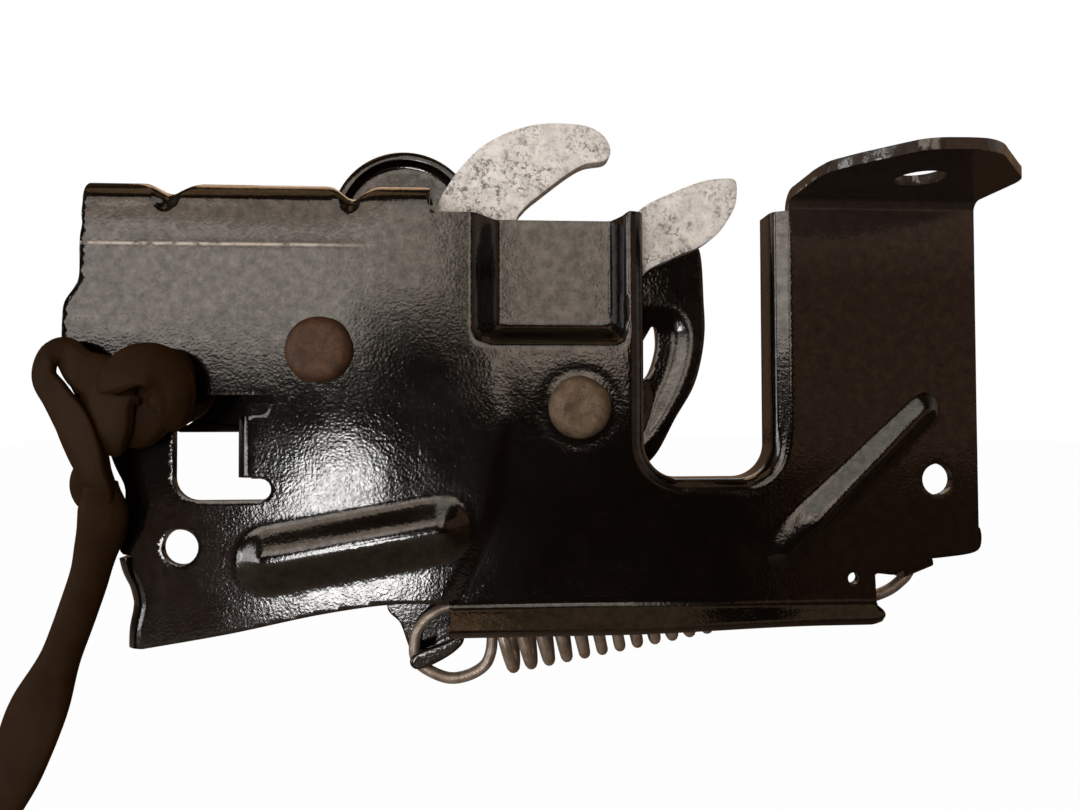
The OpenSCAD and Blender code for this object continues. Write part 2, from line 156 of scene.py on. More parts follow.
def round_angles(count):
    """Even steps round a full turn."""
    return np.linspace(0, 2 * math.pi, count, endpoint=False)


def inside(points, loops):
    """True for the points inside an odd number of closed loops."""
    x, z = points[:, 0], points[:, 1]
    odd = np.zeros(len(points), bool)
    for loop in loops:
        for a, b in zip(loop, np.roll(loop, -1, axis=0)):
            if a[1] == b[1]:
                continue
            between = (a[1] > z) != (b[1] > z)
            left_of = x < (b[0] - a[0]) * (z - a[1]) / (b[1] - a[1]) + a[0]
            odd ^= between & left_of
    return odd


def near_to(points, distance):
    """A test that tells which of some other points lie closer than that to these."""
    tree = kdtree.KDTree(len(points))
    for i, p in enumerate(points):
        tree.insert((p[0], p[1], 0), i)
    tree.balance()
    return lambda others: np.array([tree.find((p[0], p[1], 0))[2] < distance for p in others], bool)


def fill(loops, spacing, guides=()):
    """Triangles over the area inside the loops: their points in the plane and their corners. Points
    on the guide lines are kept as they are, so that a steep slope along them comes out even."""
    border = np.concatenate(loops)
    edges = []
    first = 0
    for loop in loops:
        edges += [(first + i, first + (i + 1) % len(loop)) for i in range(len(loop))]
        first += len(loop)
    low, high = border.min(axis=0), border.max(axis=0)
    rows = np.arange(low[1], high[1], spacing * ROW_HEIGHT)
    columns = np.arange(low[0], high[0], spacing)
    grid = np.array([(x + spacing / 2 * (k % 2), z) for k, z in enumerate(rows) for x in columns])
    if guides:
        kept = np.concatenate(guides)
        grid = np.concatenate([kept, grid[~near_to(kept, spacing * GUIDE_CLEAR)(grid)]])
    grid = grid[inside(grid, loops)]
    grid = grid[~near_to(border, spacing * BORDER_CLEAR)(grid)]
    points = [Vector(p) for p in border] + [Vector(p) for p in grid]
    points, _, faces, *_ = delaunay_2d_cdt(points, edges, [], 0, 1e-5)
    points = np.array([(p.x, p.y) for p in points])
    faces = np.array(faces)
    return points, faces[inside(points[faces].mean(axis=1), loops)]


def ramp(value, start, end):
    """Smooth step from 0 at start to 1 at end."""
    t = np.clip((np.asarray(value, float) - start) / (end - start), 0, 1)
    return t * t * (3 - 2 * t)


def from_segment(x, z, a, b):
    """Distance of points from a straight line between a and b, and how far along they are."""
    a, b = np.array(a), np.array(b)
    run = b - a
    t = np.clip(((x - a[0]) * run[0] + (z - a[1]) * run[1]) / (run @ run), 0, 1)
    return np.hypot(x - a[0] - t * run[0], z - a[1] - t * run[1]), t


def uneven(x, z, scale, seed):
    """Slow random height over the plane, between about -1 and 1."""
    return np.array([noise.noise((a / scale, b / scale, seed)) for a, b in zip(x, z)])


# pieces


def at_depth(points, y):
    """Points of the plate's plane, set back by y."""
    return np.column_stack([points[:, 0], np.broadcast_to(y, len(points)), points[:, 1]])


class Shape:
    """Vertices in millimetres and faces, gathered before they become one mesh."""

    def __init__(self):
        self.points = []
        self.faces = []

    def add(self, points, faces):
        first = len(self.points)
        self.points += [tuple(p) for p in points]
        self.faces += [tuple(first + i for i in f) for f in faces]

    def add_rows(self, rows, around=False, ends=False):
        """Quads between rows of as many points each. Each row closes on itself if it goes around."""
        count = len(rows[0])
        spans = count if around else count - 1
        faces = []
        for r in range(len(rows) - 1):
            for i in range(spans):
                j = (i + 1) % count
                faces.append((r * count + i, r * count + j, (r + 1) * count + j, (r + 1) * count + i))
        if ends:
            faces.append(tuple(range(count))[::-1])
            faces.append(tuple((len(rows) - 1) * count + i for i in range(count)))
        self.add([p for row in rows for p in row], faces)


def closed_tube(rows):
    """Shape of rows that go around, with its ends closed."""
    shape = Shape()
    shape.add_rows(rows, around=True, ends=True)
    return shape


def piece(name, shape, look, body, replaces=(), weld=1e-4, forward=False):
    """Makes the mesh, gives it its slot's material and sets it on its body."""
    slot, material = look
    mesh = bpy.data.meshes.new(name)
    mesh.from_pydata([(x * MM, y * MM, z * MM) for x, y, z in shape.points], [], shape.faces)
    work = bmesh.new()
    work.from_mesh(mesh)
    bmesh.ops.remove_doubles(work, verts=work.verts, dist=weld * MM)
    bmesh.ops.recalc_face_normals(work, faces=work.faces)
    if forward and sum(f.normal.y * f.calc_area() for f in work.faces) > 0:
        bmesh.ops.reverse_faces(work, faces=work.faces)
    work.to_mesh(mesh)
    work.free()
    mesh.polygons.foreach_set("use_smooth", [True] * len(mesh.polygons))
    obj = bpy.data.objects.new(name, mesh)
    bpy.context.scene.collection.objects.link(obj)
    mesh.materials.append(material)
    if body:
        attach(obj, body)
    if replaces:
        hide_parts(*replaces)
    return obj


def round_edges(obj, width, angle):
    """Bevels the edges that turn by more than the angle in degrees."""
    rounding = obj.modifiers.new("edges", "BEVEL")
    rounding.width = width * MM
    rounding.segments = 2
    rounding.limit_method = "ANGLE"
    rounding.angle_limit = math.radians(angle)
    return rounding


def sheet(name, shape, thickness, edge, look, body, replaces):
    """Piece from an open sheet that faces forward. It gets its thickness behind it and rounded cut
    edges, in the mesh itself."""
    obj = piece(name, shape, look, body, replaces, weld=1e-3, forward=True)
    solid = obj.modifiers.new("thickness", "SOLIDIFY")
    solid.thickness = thickness * MM
    solid.offset = -1
    round_edges(obj, edge, 50)
    bpy.context.view_layer.update()
    seen = obj.evaluated_get(bpy.context.evaluated_depsgraph_get())
    mesh = bpy.data.meshes.new_from_object(seen)
    obj.modifiers.clear()
    obj.data = mesh
    mesh.set_sharp_from_angle(angle=math.radians(60))


def lathe(profile, centre, segments):
    """Rows of a turned shape about a line along Y, from (radius, y) pairs."""
    return [
        [(centre[0] + r * math.cos(a), y, centre[1] + r * math.sin(a)) for a in round_angles(segments)]
        for r, y in profile
    ]


def ribbon(route, sides, power=2.3):
    """Rows of a soft flat tube. Each route row is x, y, z, half width, half thickness and the way
    its flat side faces."""
    route = np.array(route, float)
    middle, half, facing = route[:, :3], route[:, 3:5], route[:, 5:8]
    along = directions(middle)
    face = unit(facing - (facing * along).sum(axis=1)[:, None] * along)
    across = np.cross(along, face)
    w = round_angles(sides)
    c = np.sign(np.cos(w)) * np.abs(np.cos(w)) ** (2 / power)
    s = np.sign(np.sin(w)) * np.abs(np.sin(w)) ** (2 / power)
    rows = []
    for m, (a, b), n, f in zip(middle, half, across, face):
        rows.append(m + a * c[:, None] * n + b * s[:, None] * f)
    return rows


def wire(points, radius, sides):
    """Rows of a round wire along a line, turned as little as possible on the way."""
    points = np.array(points, float)
    along = directions(points)
    n = np.cross(along[0], (0.3, 1, 0.2))
    w = round_angles(sides)
    rows = []
    for p, t in zip(points, along):
        n = n - (n @ t) * t
        n /= np.linalg.norm(n)
        side = np.cross(t, n)
        rows.append(p + radius * (np.cos(w)[:, None] * n + np.sin(w)[:, None] * side))
    return rows


# materials


class Nodes:
    """A node tree with short ways to add nodes."""

    def __init__(self, tree):
        self.tree = tree

    def add(self, kind, **inputs):
        node = self.tree.nodes.new(kind)
        for key, value in inputs.items():
            self.set(node, key.replace("_", " "), value)
        return node

    def set(self, node, key, value):
        """Links a socket to an input, or gives it a value."""
        socket = node.inputs[key]
        if isinstance(value, bpy.types.NodeSocket):
            self.tree.links.new(value, socket)
        else:
            socket.default_value = value

    def span(self, value, low, high, out_low=0.0, out_high=1.0):
        """Maps a value from one range to another, held at its ends."""
        node = self.add(
            "ShaderNodeMapRange", Value=value, From_Min=low, From_Max=high, To_Min=out_low, To_Max=out_high
        )
        return node.outputs["Result"]

    def mix(self, factor, a, b):
        """Colour between a and b."""
        node = self.add("ShaderNodeMix")
        node.data_type = "RGBA"
        self.set(node, "Factor", factor)
        for index, value in ((6, a), (7, b)):
            linked = isinstance(value, bpy.types.NodeSocket)
            self.set(node, index, value if linked else (*value, 1))
        return node.outputs[2]

    def math(self, operation, a, b):
        node = self.add("ShaderNodeMath")
        node.operation = operation
        self.set(node, 0, a)
        self.set(node, 1, b)
        return node.outputs[0]

    def times(self, a, b):
        return self.math("MULTIPLY", a, b)

    def seen_directly(self):
        """1 for rays that come straight from the camera, or through glass."""
        rays = self.add("ShaderNodeLightPath").outputs
        return self.math("MAXIMUM", rays["Is Camera Ray"], rays["Is Transmission Ray"])

    def either(self, factor, a, b):
        """Shader between the first outputs of two nodes."""
        node = self.add("ShaderNodeMixShader")
        for index, value in enumerate((factor, a.outputs[0], b.outputs[0])):
            self.set(node, index, value)
        return node.outputs[0]


class Paint(Nodes):
    """A node material over the place on the object."""

    def __init__(self, name):
        self.material = bpy.data.materials.new(name)
        self.material.use_nodes = True
        super().__init__(self.material.node_tree)
        self.shader = self.tree.nodes["Principled BSDF"]
        self.place = self.add("ShaderNodeTexCoord").outputs["Object"]

    def noise(self, size_mm, detail=3, rough=0.5, warp=0.0):
        """Noise whose features are about that large."""
        node = self.add(
            "ShaderNodeTexNoise", Vector=self.place, Scale=1 / (size_mm * MM), Detail=detail,
            Roughness=rough, Distortion=warp,
        )
        return node.outputs["Fac"]

    def across_and_up(self):
        """The place's X and Z."""
        node = self.add("ShaderNodeSeparateXYZ", Vector=self.place)
        return node.outputs["X"], node.outputs["Z"]

    def bump(self, height, depth_mm, below=None):
        node = self.add("ShaderNodeBump", Height=height, Distance=depth_mm * MM, Strength=1.0)
        if below is not None:
            self.set(node, "Normal", below)
        return node.outputs["Normal"]

    def finish(self, colour, roughness, normal=None, **others):
        inputs = {"Base_Color": colour, "Roughness": roughness, **others}
        if normal is not None:
            inputs["Normal"] = normal
        for key, value in inputs.items():
            self.set(self.shader, key.replace("_", " "), value)
        return self.material


# Painted highlight: a pale line painted along the crease at the top left, where a lamp above would catch
# it.
CREASE_HIGHLIGHT_Z = 59.25
CREASE_HIGHLIGHT_HALF = 0.45
# Painted reflection: a paler patch painted on the face below the ear, in place of light reflected from the
# ear's underside.
EAR_REFLECTION_X = (112.0, 122.0)
EAR_REFLECTION_Z = (53.0, 66.0)


def black_paint():
    """Gloss black paint over pressed steel: orange peel, smudges, thin dust and specks, a painted highlight
    line along the crease and a painted reflection below the ear.
    """
    p = Paint("black_paint")
    peel = p.noise(0.6, detail=1, warp=0.4)
    swell = p.noise(2.4, detail=2, rough=0.4)
    slow = p.noise(16)
    smudge = p.noise(2.2, detail=9, rough=0.78, warp=0.2)
    dust = p.span(p.noise(7, detail=6, rough=0.65, warp=0.4), 0.5, 0.78)
    specks = p.span(p.noise(0.55, detail=2), 0.73, 0.78)
    base = p.mix(dust, (0.0022, 0.0015, 0.0010), (0.0048, 0.0031, 0.0020))
    colour = p.mix(p.times(specks, 0.35), base, (0.05, 0.042, 0.035))
    x, z = p.across_and_up()
    # Painted reflection: a paler patch on the face below the ear, broken up by the smudges.
    under_ear = p.times(
        p.span(z, EAR_REFLECTION_Z[0] * MM, EAR_REFLECTION_Z[1] * MM),
        p.span(x, EAR_REFLECTION_X[0] * MM, EAR_REFLECTION_X[1] * MM),
    )
    ear_reflection = p.times(under_ear, p.span(smudge, 0.3, 0.7, 0.5))
    colour = p.mix(ear_reflection, colour, (0.036, 0.028, 0.024))
    # Painted highlight: a pale line along the crease, broken up by noise and fading out towards the right.
    above = p.span(z, (CREASE_HIGHLIGHT_Z - CREASE_HIGHLIGHT_HALF) * MM, CREASE_HIGHLIGHT_Z * MM)
    below = p.span(z, CREASE_HIGHLIGHT_Z * MM, (CREASE_HIGHLIGHT_Z + CREASE_HIGHLIGHT_HALF) * MM, 1.0, 0.0)
    crease_highlight = p.times(p.times(above, below), p.span(x, 0.024, 0.038, 1.0, 0.0))
    crease_highlight = p.times(crease_highlight, p.span(p.noise(2.5, detail=4), 0.34, 0.5))
    colour = p.mix(crease_highlight, colour, (0.55, 0.53, 0.50))
    rough = p.span(slow, 0.3, 0.7, 0.08, 0.13)
    sheen = p.span(smudge, 0.32, 0.68, 0.27, 0.71)
    normal = p.bump(peel, 0.020, below=p.bump(swell, 0.02))
    return p.finish(colour, rough, normal, IOR=1.6, Specular_IOR_Level=sheen)


def zinc():
    """Mottled zinc plate: pale and dull grey patches with fine dark pits in places."""
    p = Paint("zinc")
    patches = p.span(p.noise(3.0, detail=7, rough=0.75, warp=0.6), 0.38, 0.62)
    fine = p.span(p.noise(0.6, detail=4, rough=0.7), 0.35, 0.7)
    gather = p.span(p.noise(10, rough=0.6), 0.4, 0.56)
    pits = p.span(p.noise(1.15, detail=6, rough=0.75, warp=0.6), 0.5, 0.6)
    pale = p.mix(patches, (0.62, 0.635, 0.655), (0.95, 0.965, 0.985))
    streaked = p.mix(p.times(fine, 0.35), pale, (0.97, 0.98, 0.99))
    dark = p.times(pits, p.span(gather, 0, 1, 0.3))
    colour = p.mix(dark, streaked, (0.16, 0.16, 0.155))
    rough = p.span(patches, 0, 1, 0.38, 0.55)
    return p.finish(colour, rough, p.bump(fine, 0.03), Metallic=0.15)


def rusty_rivet(name, pale, dark):
    """Bare rivet head gone brown, with pale rubbed patches."""
    p = Paint(name)
    patches = p.span(p.noise(2.2, detail=6, rough=0.7, warp=0.5), 0.34, 0.66)
    grain = p.noise(0.45, detail=5, rough=0.7)
    spots = p.span(p.noise(0.9, detail=4, rough=0.7), 0.58, 0.68)
    colour = p.mix(patches, dark, pale)
    colour = p.mix(p.times(spots, 0.6), colour, tuple(0.45 * c for c in dark))
    rough = p.span(grain, 0.3, 0.7, 0.45, 0.7)
    return p.finish(colour, rough, p.bump(grain, 0.06), Metallic=0.35)


def worn_wire():
    """Spring wire whose coating has rubbed off to grey brown."""
    p = Paint("wire")
    patches = p.span(p.noise(3.2, detail=5, rough=0.65), 0.35, 0.68)
    grain = p.noise(0.4, detail=4, rough=0.6)
    colour = p.mix(patches, (0.20, 0.155, 0.125), (0.40, 0.35, 0.305))
    rough = p.span(grain, 0.3, 0.7, 0.34, 0.5)
    return p.finish(colour, rough, p.bump(grain, 0.02), Metallic=0.6)


def sleeve():
    """Soft dark sleeve of the lead: dull, a little brown, with fine creases."""
    p = Paint("sleeve")
    slow = p.span(p.noise(9, detail=4, rough=0.6), 0.35, 0.65)
    grain = p.noise(0.5, detail=4, rough=0.6)
    folds = p.noise(3.0, rough=0.55, warp=0.8)
    colour = p.mix(slow, (0.0165, 0.0076, 0.0023), (0.0250, 0.0120, 0.0042))
    normal = p.bump(grain, 0.02, below=p.bump(folds, 0.12))
    return p.finish(colour, 0.55, normal, Specular_IOR_Level=0.06)


def moulded(name, colour, roughness):
    """Moulded black plastic or rubber with a fine grain."""
    p = Paint(name)
    grain = p.noise(0.35)
    slow = p.noise(6)
    shade = p.mix(p.span(slow, 0.35, 0.65), colour, tuple(1.5 * c for c in colour))
    return p.finish(shade, roughness, p.bump(grain, 0.02))


# slots with their materials

PAINT = ("black_paint", black_paint())
ZINC = ("zinc", zinc())
FORK_RIVET = ("rivet", rusty_rivet("fork_rivet_face", (0.165, 0.118, 0.078), (0.070, 0.047, 0.029)))
PAWL_RIVET = ("rivet", rusty_rivet("pawl_rivet_face", (0.088, 0.041, 0.018), (0.036, 0.015, 0.006)))
WIRE = ("wire", worn_wire())
SLEEVE = ("sleeve", sleeve())
RUBBER = ("rubber", moulded("rubber", (0.010, 0.010, 0.010), 0.7))
PLASTIC = ("plastic", moulded("plastic", (0.012, 0.012, 0.012), 0.5))


# camera

TARGET = (70.0, 0.0, 27.5)
AZIMUTH = math.radians(-3.5)
ELEVATION = math.radians(-1.3)
ROLL = math.radians(-0.2)
DISTANCE = 156.0
LENS = 26.0
SENSOR = 36.0


def add_camera():
    data = bpy.data.cameras.new("camera")
    data.lens = LENS
    data.sensor_width = SENSOR
    data.clip_start = 0.005
    camera = bpy.data.objects.new("camera", data)
    bpy.context.scene.collection.objects.link(camera)
    away = Vector((
        math.sin(AZIMUTH) * math.cos(ELEVATION),
        -math.cos(AZIMUTH) * math.cos(ELEVATION),
        math.sin(ELEVATION),
    ))
    camera.location = (Vector(TARGET) + DISTANCE * away) * MM
    turn = (-away).to_track_quat("-Z", "Y").to_euler()
    camera.rotation_euler = turn
    camera.rotation_euler.rotate_axis("Z", ROLL)
    bpy.context.scene.camera = camera


add_camera()


# lead: the free run of the sleeve, as in the solids

LEAD_ROUTE = [
    (-12.1, -6, 13), (-12.1, -5, 8.9), (-12.5, -4.4, 4.7), (-13.9, -3.8, 0), (-15.2, -3.6, -5),
    (-16.8, -3.6, -10), (-18.5, -3.6, -15), (-20.4, -3.6, -20.1), (-22.6, -3.6, -25.6),
    (-24.9, -3.6, -31.1), (-28.1, -3.6, -39.4), (-32.8, -3.5, -47.4), (-36.5, -3, -55),
    (-39, -2.2, -63), (-40.4, -1.1, -72), (-40.8, 0, -82), (-40.8, 0, -92),
]
LEAD_HALF_WIDTH = 4.3
LEAD_HALF_THICK = 2.0
LEAD_DRAWN_IN = 0.9
LEAD_SPREAD = 1.7


def build_lead():
    """Flat sleeve that lies fuller near the knot and spreads where it hangs free."""
    line = spline(LEAD_ROUTE, 0.8)
    run = np.linspace(0, 1, len(line))
    waist = ramp(run, 0.06, 0.16) * (1 - ramp(run, 0.28, 0.4)) + 1.4 * (1 - ramp(run, 0, 0.05))
    spread = ramp(run, 0.3, 0.45) * (1 - ramp(run, 0.72, 0.95))
    half_width = LEAD_HALF_WIDTH - LEAD_DRAWN_IN * waist + LEAD_SPREAD * spread - 0.5 * ramp(run, 0.85, 1.0)
    half_thick = LEAD_HALF_THICK - 0.4 * spread
    swing = 0.35 * np.sin(run * 9.0)
    route = np.column_stack([
        line, half_width, half_thick, swing, np.full(len(line), -1.0), np.zeros(len(line))
    ])
    shape = closed_tube(ribbon(route, sides=28))
    lead = piece("lead_sleeve", shape, SLEEVE, "frame", ["lead"])


build_lead()


# front plate

FLANGE_R = 4.45
FLANGE_BEND = 67.7
FLANGE_ENDS = (-19.0, 48.0)
FLANGE_DEPTH = 10.0
PLATE_TOP = 66.2
RIM_TOPS = (66.8, 67.3)
RIGHT_X = 160.6
SLOT_BENDS = (88.3, 121.2)
SLOT_CORNERS = ((99.0, 20.0), (111.1, 19.4))
SLOT_CORNER_RS = (10.7, 10.1)
SLOT_LOW = 9.3
RIM_R = 3.2
RIM_DEPTH = 8.0
RIM_FLARE = 1.2
EAR_BEND = 67.5
EAR_INNER_R = 2.0
EAR_HOLE = (140.65, -15.0)
EAR_HOLE_R = 4.5
EAR_END = [
    (160.6, -2.0), (160.6, -13.4), (159.6, -16.4), (148.0, -28.4), (144.8, -30.4), (141.0, -30.8),
    (136.2, -30.7), (132.6, -29.6), (124.6, -21.6), (122.0, -18.0), (121.2, -14.0), (121.2, -2.0),
]
TAB_BEND = 13.4
TAB_ENDS = (13.4, 25.4)
TAB_DEPTH = 9.0
SIDE_R = 4.0
SIDE_DEPTH = 9.0
LUG_R = 2.0
LUG_DEPTH = 14.0
LIP_BEND = -12.0
LIP_ENDS = (52.0, 138.7)
LIP_R = 2.0
LIP_WIDTH = 6.0
# both fixing holes and the small hole by the spring's right end
HOLES = [((0, 0), 3.5), ((152, 12), 3.25), ((134, -8), 1.2)]
LEFT_EDGE = [
    (-8.9, -1.5), (-11.0, -0.9), (-11.4, 1.5), (-10.9, 5), (-10.4, 9), (-10.5, 12), (-12.2, 15.6),
    (-14, 20), (-16, 24), (-20, 29.7), (-22, 34.7), (-22.5, 40), (-22.5, 44), (-22.1, 47.6),
    (-20.3, 50.5), (-19.4, 53), (-19.4, 60), (-19.0, 63), (-19.2, 65), (FLANGE_ENDS[0], FLANGE_BEND),
]
LOW_EDGE = [(LIP_ENDS[0], LIP_BEND), (41, -11.7), (27, -13.4), (9.6, -16.8), (-6.8, -19.4)]
SIDE_BEND = [
    (-6.8, -19.4), (-6.7, -16), (-6.0, -12.5), (-5.8, -10), (-6.9, -6.6), (-8.3, -3.8), (-8.9, -1.5),
]
RIGHT_EDGE = [
    (RIGHT_X, EAR_BEND), (RIGHT_X, 5), (160.9, 2.2), (161.2, 0), (160.7, -2.3), (158.6, -3.3),
    (154, -3.9), (150.6, -4.2),
]
LUG_BEND = [(150.6, -4.2), (144.4, -6.6)]
HEEL = [(144.4, -6.6), (142.6, -7.5), (138.5, -7.0), (LIP_ENDS[1], LIP_BEND)]


def flat_runs():
    """The flat face's border, run by run, clockwise from the top left."""
    left, right = SLOT_BENDS
    (lx, lz), (rx, rz) = SLOT_CORNERS
    start, end = ((x, FLANGE_BEND) for x in FLANGE_ENDS)
    step_down = (end[0] + 0.6, PLATE_TOP)
    flare = (left - RIM_FLARE, PLATE_TOP)
    return {
        "top": straight(start, end),
        "shoulder": traced(end, step_down, flare, (left, RIM_TOPS[0])),
        "slot": traced(
            (left, RIM_TOPS[0]), (left, lz), ((lx, lz), SLOT_CORNER_RS[0], 180, 270), (rx, SLOT_LOW),
            ((rx, rz), SLOT_CORNER_RS[1], 270, 360), (right, RIM_TOPS[1]),
        ),
        "notch": straight((right, RIM_TOPS[1]), (right, EAR_BEND)),
        "ear": straight((right, EAR_BEND), (RIGHT_X, EAR_BEND)),
        "side": spline(RIGHT_EDGE),
        "lug": straight(*LUG_BEND),
        "heel": resampled(np.array(HEEL, float)),
        "lip": straight((LIP_ENDS[1], LIP_BEND), (LIP_ENDS[0], LIP_BEND)),
        "low": spline(LOW_EDGE),
        "flange": spline(SIDE_BEND),
        "edge": spline(LEFT_EDGE),
    }


def window_runs():
    """The window's border: the tab's bend and the cut edge."""
    low, high = TAB_ENDS
    tab = straight((TAB_BEND, low), (TAB_BEND, high))
    cut = traced(
        (TAB_BEND, high), (TAB_BEND + 0.2, 25.6), (15, 25.6), ((15, 27.6), 2, -90, 90), (-0.4, 29.6),
        ((-0.4, 28.6), 1, 90, 180), (-1.4, 13.6), ((3.2, 13.6), 4.6, 180, 270), (15.2, 9.0),
        ((15.2, 11.1), 2.1, -90, 90), (TAB_BEND + 0.2, 13.2), (TAB_BEND, low),
    )
    return tab, cut


def ring_loop(centre, radius):
    return arc(centre, radius, 0, 360, min(STEP, radius / 4))[:-1]


FLANGE_DARTS = [(-2.8, 6.4, 2.3), (32.8, 6.0, 3.0)]
SIDE_DARTS = [(-9.8, 5.0, -0.3)]
CREASE = [(-19.5, 59.2), (37, 59.5), (41, 58.6), (45, 55.5)]
CREASE_STEP = 0.12
CREASE_LEAN = 0.004
JOGGLE = [(61.5, 41), (63.6, 24.5), (60, 4.7), (51.7, -11.8)]
JOGGLE_STEP = 0.3
RIVET_RING = 0.07


def darts(along, part, places):
    """How deep the V-shaped darts across a bend are. They widen from nothing on the flat face."""
    along = np.asarray(along, float)
    deep = np.zeros(len(along))
    for middle, half, depth in places:
        away = np.abs(along - middle) / (half * (0.3 + 0.7 * part))
        deep += depth * part**0.6 * (1 - ramp(away, 0.0, 1.05))
    return deep


POCKET_DEPTH = 6.0
POCKET_LEFT = (56.4, 61.8)
POCKET_RIGHT = (85.0, 88.1)
POCKET_LOW = (39.3, 44.4)
LEFT_BEAD = (np.array((17.0, -2.6)), np.array((50.0, 3.0)))
LEFT_BEAD_HEIGHT = 2.1
LEFT_BEAD_FOOT = 7.2
RIGHT_BEAD = (np.array((120.5, -2.4)), np.array((149.6, 26.2)))
RIGHT_BEAD_HEIGHT = 1.9


def slope_guides():
    """Lines along the pocket's walls and along both beads, for an even mesh there."""
    lines = [straight((x, 45.0), (x, PLATE_TOP)) for x in np.linspace(55.0, 63.2, 13)]
    lines += [straight((x, 45.0), (x, PLATE_TOP)) for x in np.linspace(83.8, 89.2, 9)]
    lines += [straight((63.8, z), (83.2, z)) for z in np.linspace(38.2, 45.6, 11)]
    for (a, b), low, high in ((LEFT_BEAD, -LEFT_BEAD_FOOT, LEFT_BEAD_FOOT), (RIGHT_BEAD, -3.0, 5.4)):
        across = np.array((a[1] - b[1], b[0] - a[0])) / np.linalg.norm(b - a)
        lines += [straight(a + k * across, b + k * across) for k in np.linspace(low, high, 21)]
    return lines


def round_bead(x, z):
    """Height of the left bead: a round back that runs out in wide hollow feet."""
    d, _ = from_segment(x, z, *LEFT_BEAD)
    return LEFT_BEAD_HEIGHT * (1 - ramp(d, 0.3, LEFT_BEAD_FOOT))


def roof_bead(x, z):
    """Height of the right bead: a broad soft slope above its crest and a short one below. It fades
    towards its lower end and is drawn in towards its upper one."""
    a, b = RIGHT_BEAD
    d, t = from_segment(x, z, a, b)
    run = (b - a) / np.linalg.norm(b - a)
    side = (z - a[1]) * run[0] - (x - a[0]) * run[1]
    upper = ramp(side / np.maximum(d, 0.1), -0.7, 0.7)
    half = (3.2 - 0.3 * t) * (1 - upper) + (6.0 - 1.7 * t) * upper
    height = (RIGHT_BEAD_HEIGHT - 0.5 * t) * (0.4 + 0.6 * ramp(t, 0, 0.25))
    return height * (1 - ramp(d / half, 0.0, 1.0))


def dart_roots(x, z):
    """Depth of the darts' pointed ends, which start on the face just under the bend."""
    deep = np.zeros(len(x))
    start = ramp(z, 65.4, FLANGE_BEND)
    for middle, _, _ in FLANGE_DARTS:
        deep += 0.8 * start * (1 - ramp(np.abs(x - middle + 0.8) / (0.4 + 2.4 * start), 0, 1))
    return deep


def plate_depth(x, z):
    """How far the face lies behind the flat, in the pocket, at creases and on the pressed beads."""
    pocket = ramp(x, *POCKET_LEFT) * (1 - ramp(x, *POCKET_RIGHT)) * ramp(z, *POCKET_LOW)
    y = POCKET_DEPTH * pocket
    crease = np.interp(x, [p[0] for p in CREASE], [p[1] for p in CREASE])
    lean = np.clip(z - crease - 0.6, 0, 7)
    above_crease = CREASE_STEP * ramp(z - crease, -1.2, 1.2) + CREASE_LEAN * lean**2
    y += above_crease * (1 - ramp(x, 26, 44)) + dart_roots(x, z)
    joggle = np.interp(z, [p[1] for p in JOGGLE[::-1]], [p[0] for p in JOGGLE[::-1]])
    y += JOGGLE_STEP * ramp(x - joggle, -1.8, 1.8) * (1 - ramp(z, 12, 44)) * (1 - ramp(x, 72, 110))
    y -= round_bead(x, z) + roof_bead(x, z)
    d = np.hypot(x - FORK_PIVOT[0], z - FORK_PIVOT[1])
    y += RIVET_RING * np.exp(-((d - 7.4) / 1.0) ** 2)
    y += 0.05 * uneven(x, z, 17, 2.0) + 0.02 * uneven(x, z, 6, 7.0)
    return y


def outward(run):
    """Directions out of the flat face along a border run that goes clockwise."""
    along = directions(run)
    return np.stack([-along[:, 1], along[:, 0]], axis=1)


SOFT_KNEE = 0.6
SOFT_OUT = 0.62
SOFT_BACK = 0.25


def soft_turn(part):
    """How far out and back a flatter bend has come: straight up to its knee, then round."""
    if part < SOFT_KNEE:
        return SOFT_OUT * part / SOFT_KNEE, SOFT_BACK * part / SOFT_KNEE
    turn = (part - SOFT_KNEE) / (1 - SOFT_KNEE) * math.pi / 2
    out = SOFT_OUT + (1 - SOFT_OUT) * math.sin(turn)
    back = SOFT_BACK + (1 - SOFT_BACK) * (1 - math.cos(turn))
    return out, back


def bend_back(shape, run, radius, depth, sink=None, flat=None):
    """Strip that turns back from the flat face through a quarter round and runs to a depth. It can
    sink in darts, and lie flatter at the start of the bend where flat is 1."""
    out = outward(run)
    face = plate_depth(run[:, 0], run[:, 1])
    none = np.zeros(len(run))
    soft = none if flat is None else flat
    rows = []
    for part in np.linspace(0, 1, 13):
        turn = part * math.pi / 2
        drop = none if sink is None else sink(part)
        soft_out, soft_back = soft_turn(part)
        reach = radius * (math.sin(turn) * (1 - soft) + soft_out * soft) - drop
        back = radius * ((1 - math.cos(turn)) * (1 - soft) + soft_back * soft)
        rows.append((run + out * reach[:, None], face + back))
    edge, start = rows[-1]
    for part in np.linspace(0, 1, max(2, round((depth - radius) / STEP) + 1))[1:]:
        rows.append((edge, start + (depth - start) * part))
    shape.add_rows([at_depth(p, y) for p, y in rows])


def ear_strip(shape, run):
    """The bend forward to the ear, then the ear's flat underside with its hole."""
    face = plate_depth(run[:, 0], run[:, 1])
    rows = []
    for turn in np.linspace(0, math.pi / 2, 9):
        y = face * (1 - turn / (math.pi / 2)) - EAR_INNER_R * (1 - math.cos(turn))
        rows.append(np.column_stack([run[:, 0], y, run[:, 1] + EAR_INNER_R * math.sin(turn)]))
    shape.add_rows(rows)
    level = EAR_BEND + EAR_INNER_R
    back = np.column_stack([run[:, 0], np.full(len(run), -EAR_INNER_R)])
    front = resampled(np.array(EAR_END, float))
    front = np.concatenate([front[:1], spline(front[1:-1:3]), front[-1:]])
    border = joined(back, front)[:-1]
    hole = ring_loop(EAR_HOLE, EAR_HOLE_R)
    points, faces = fill([border, hole], STEP)
    shape.add([(x, y, level) for x, y in points], faces)


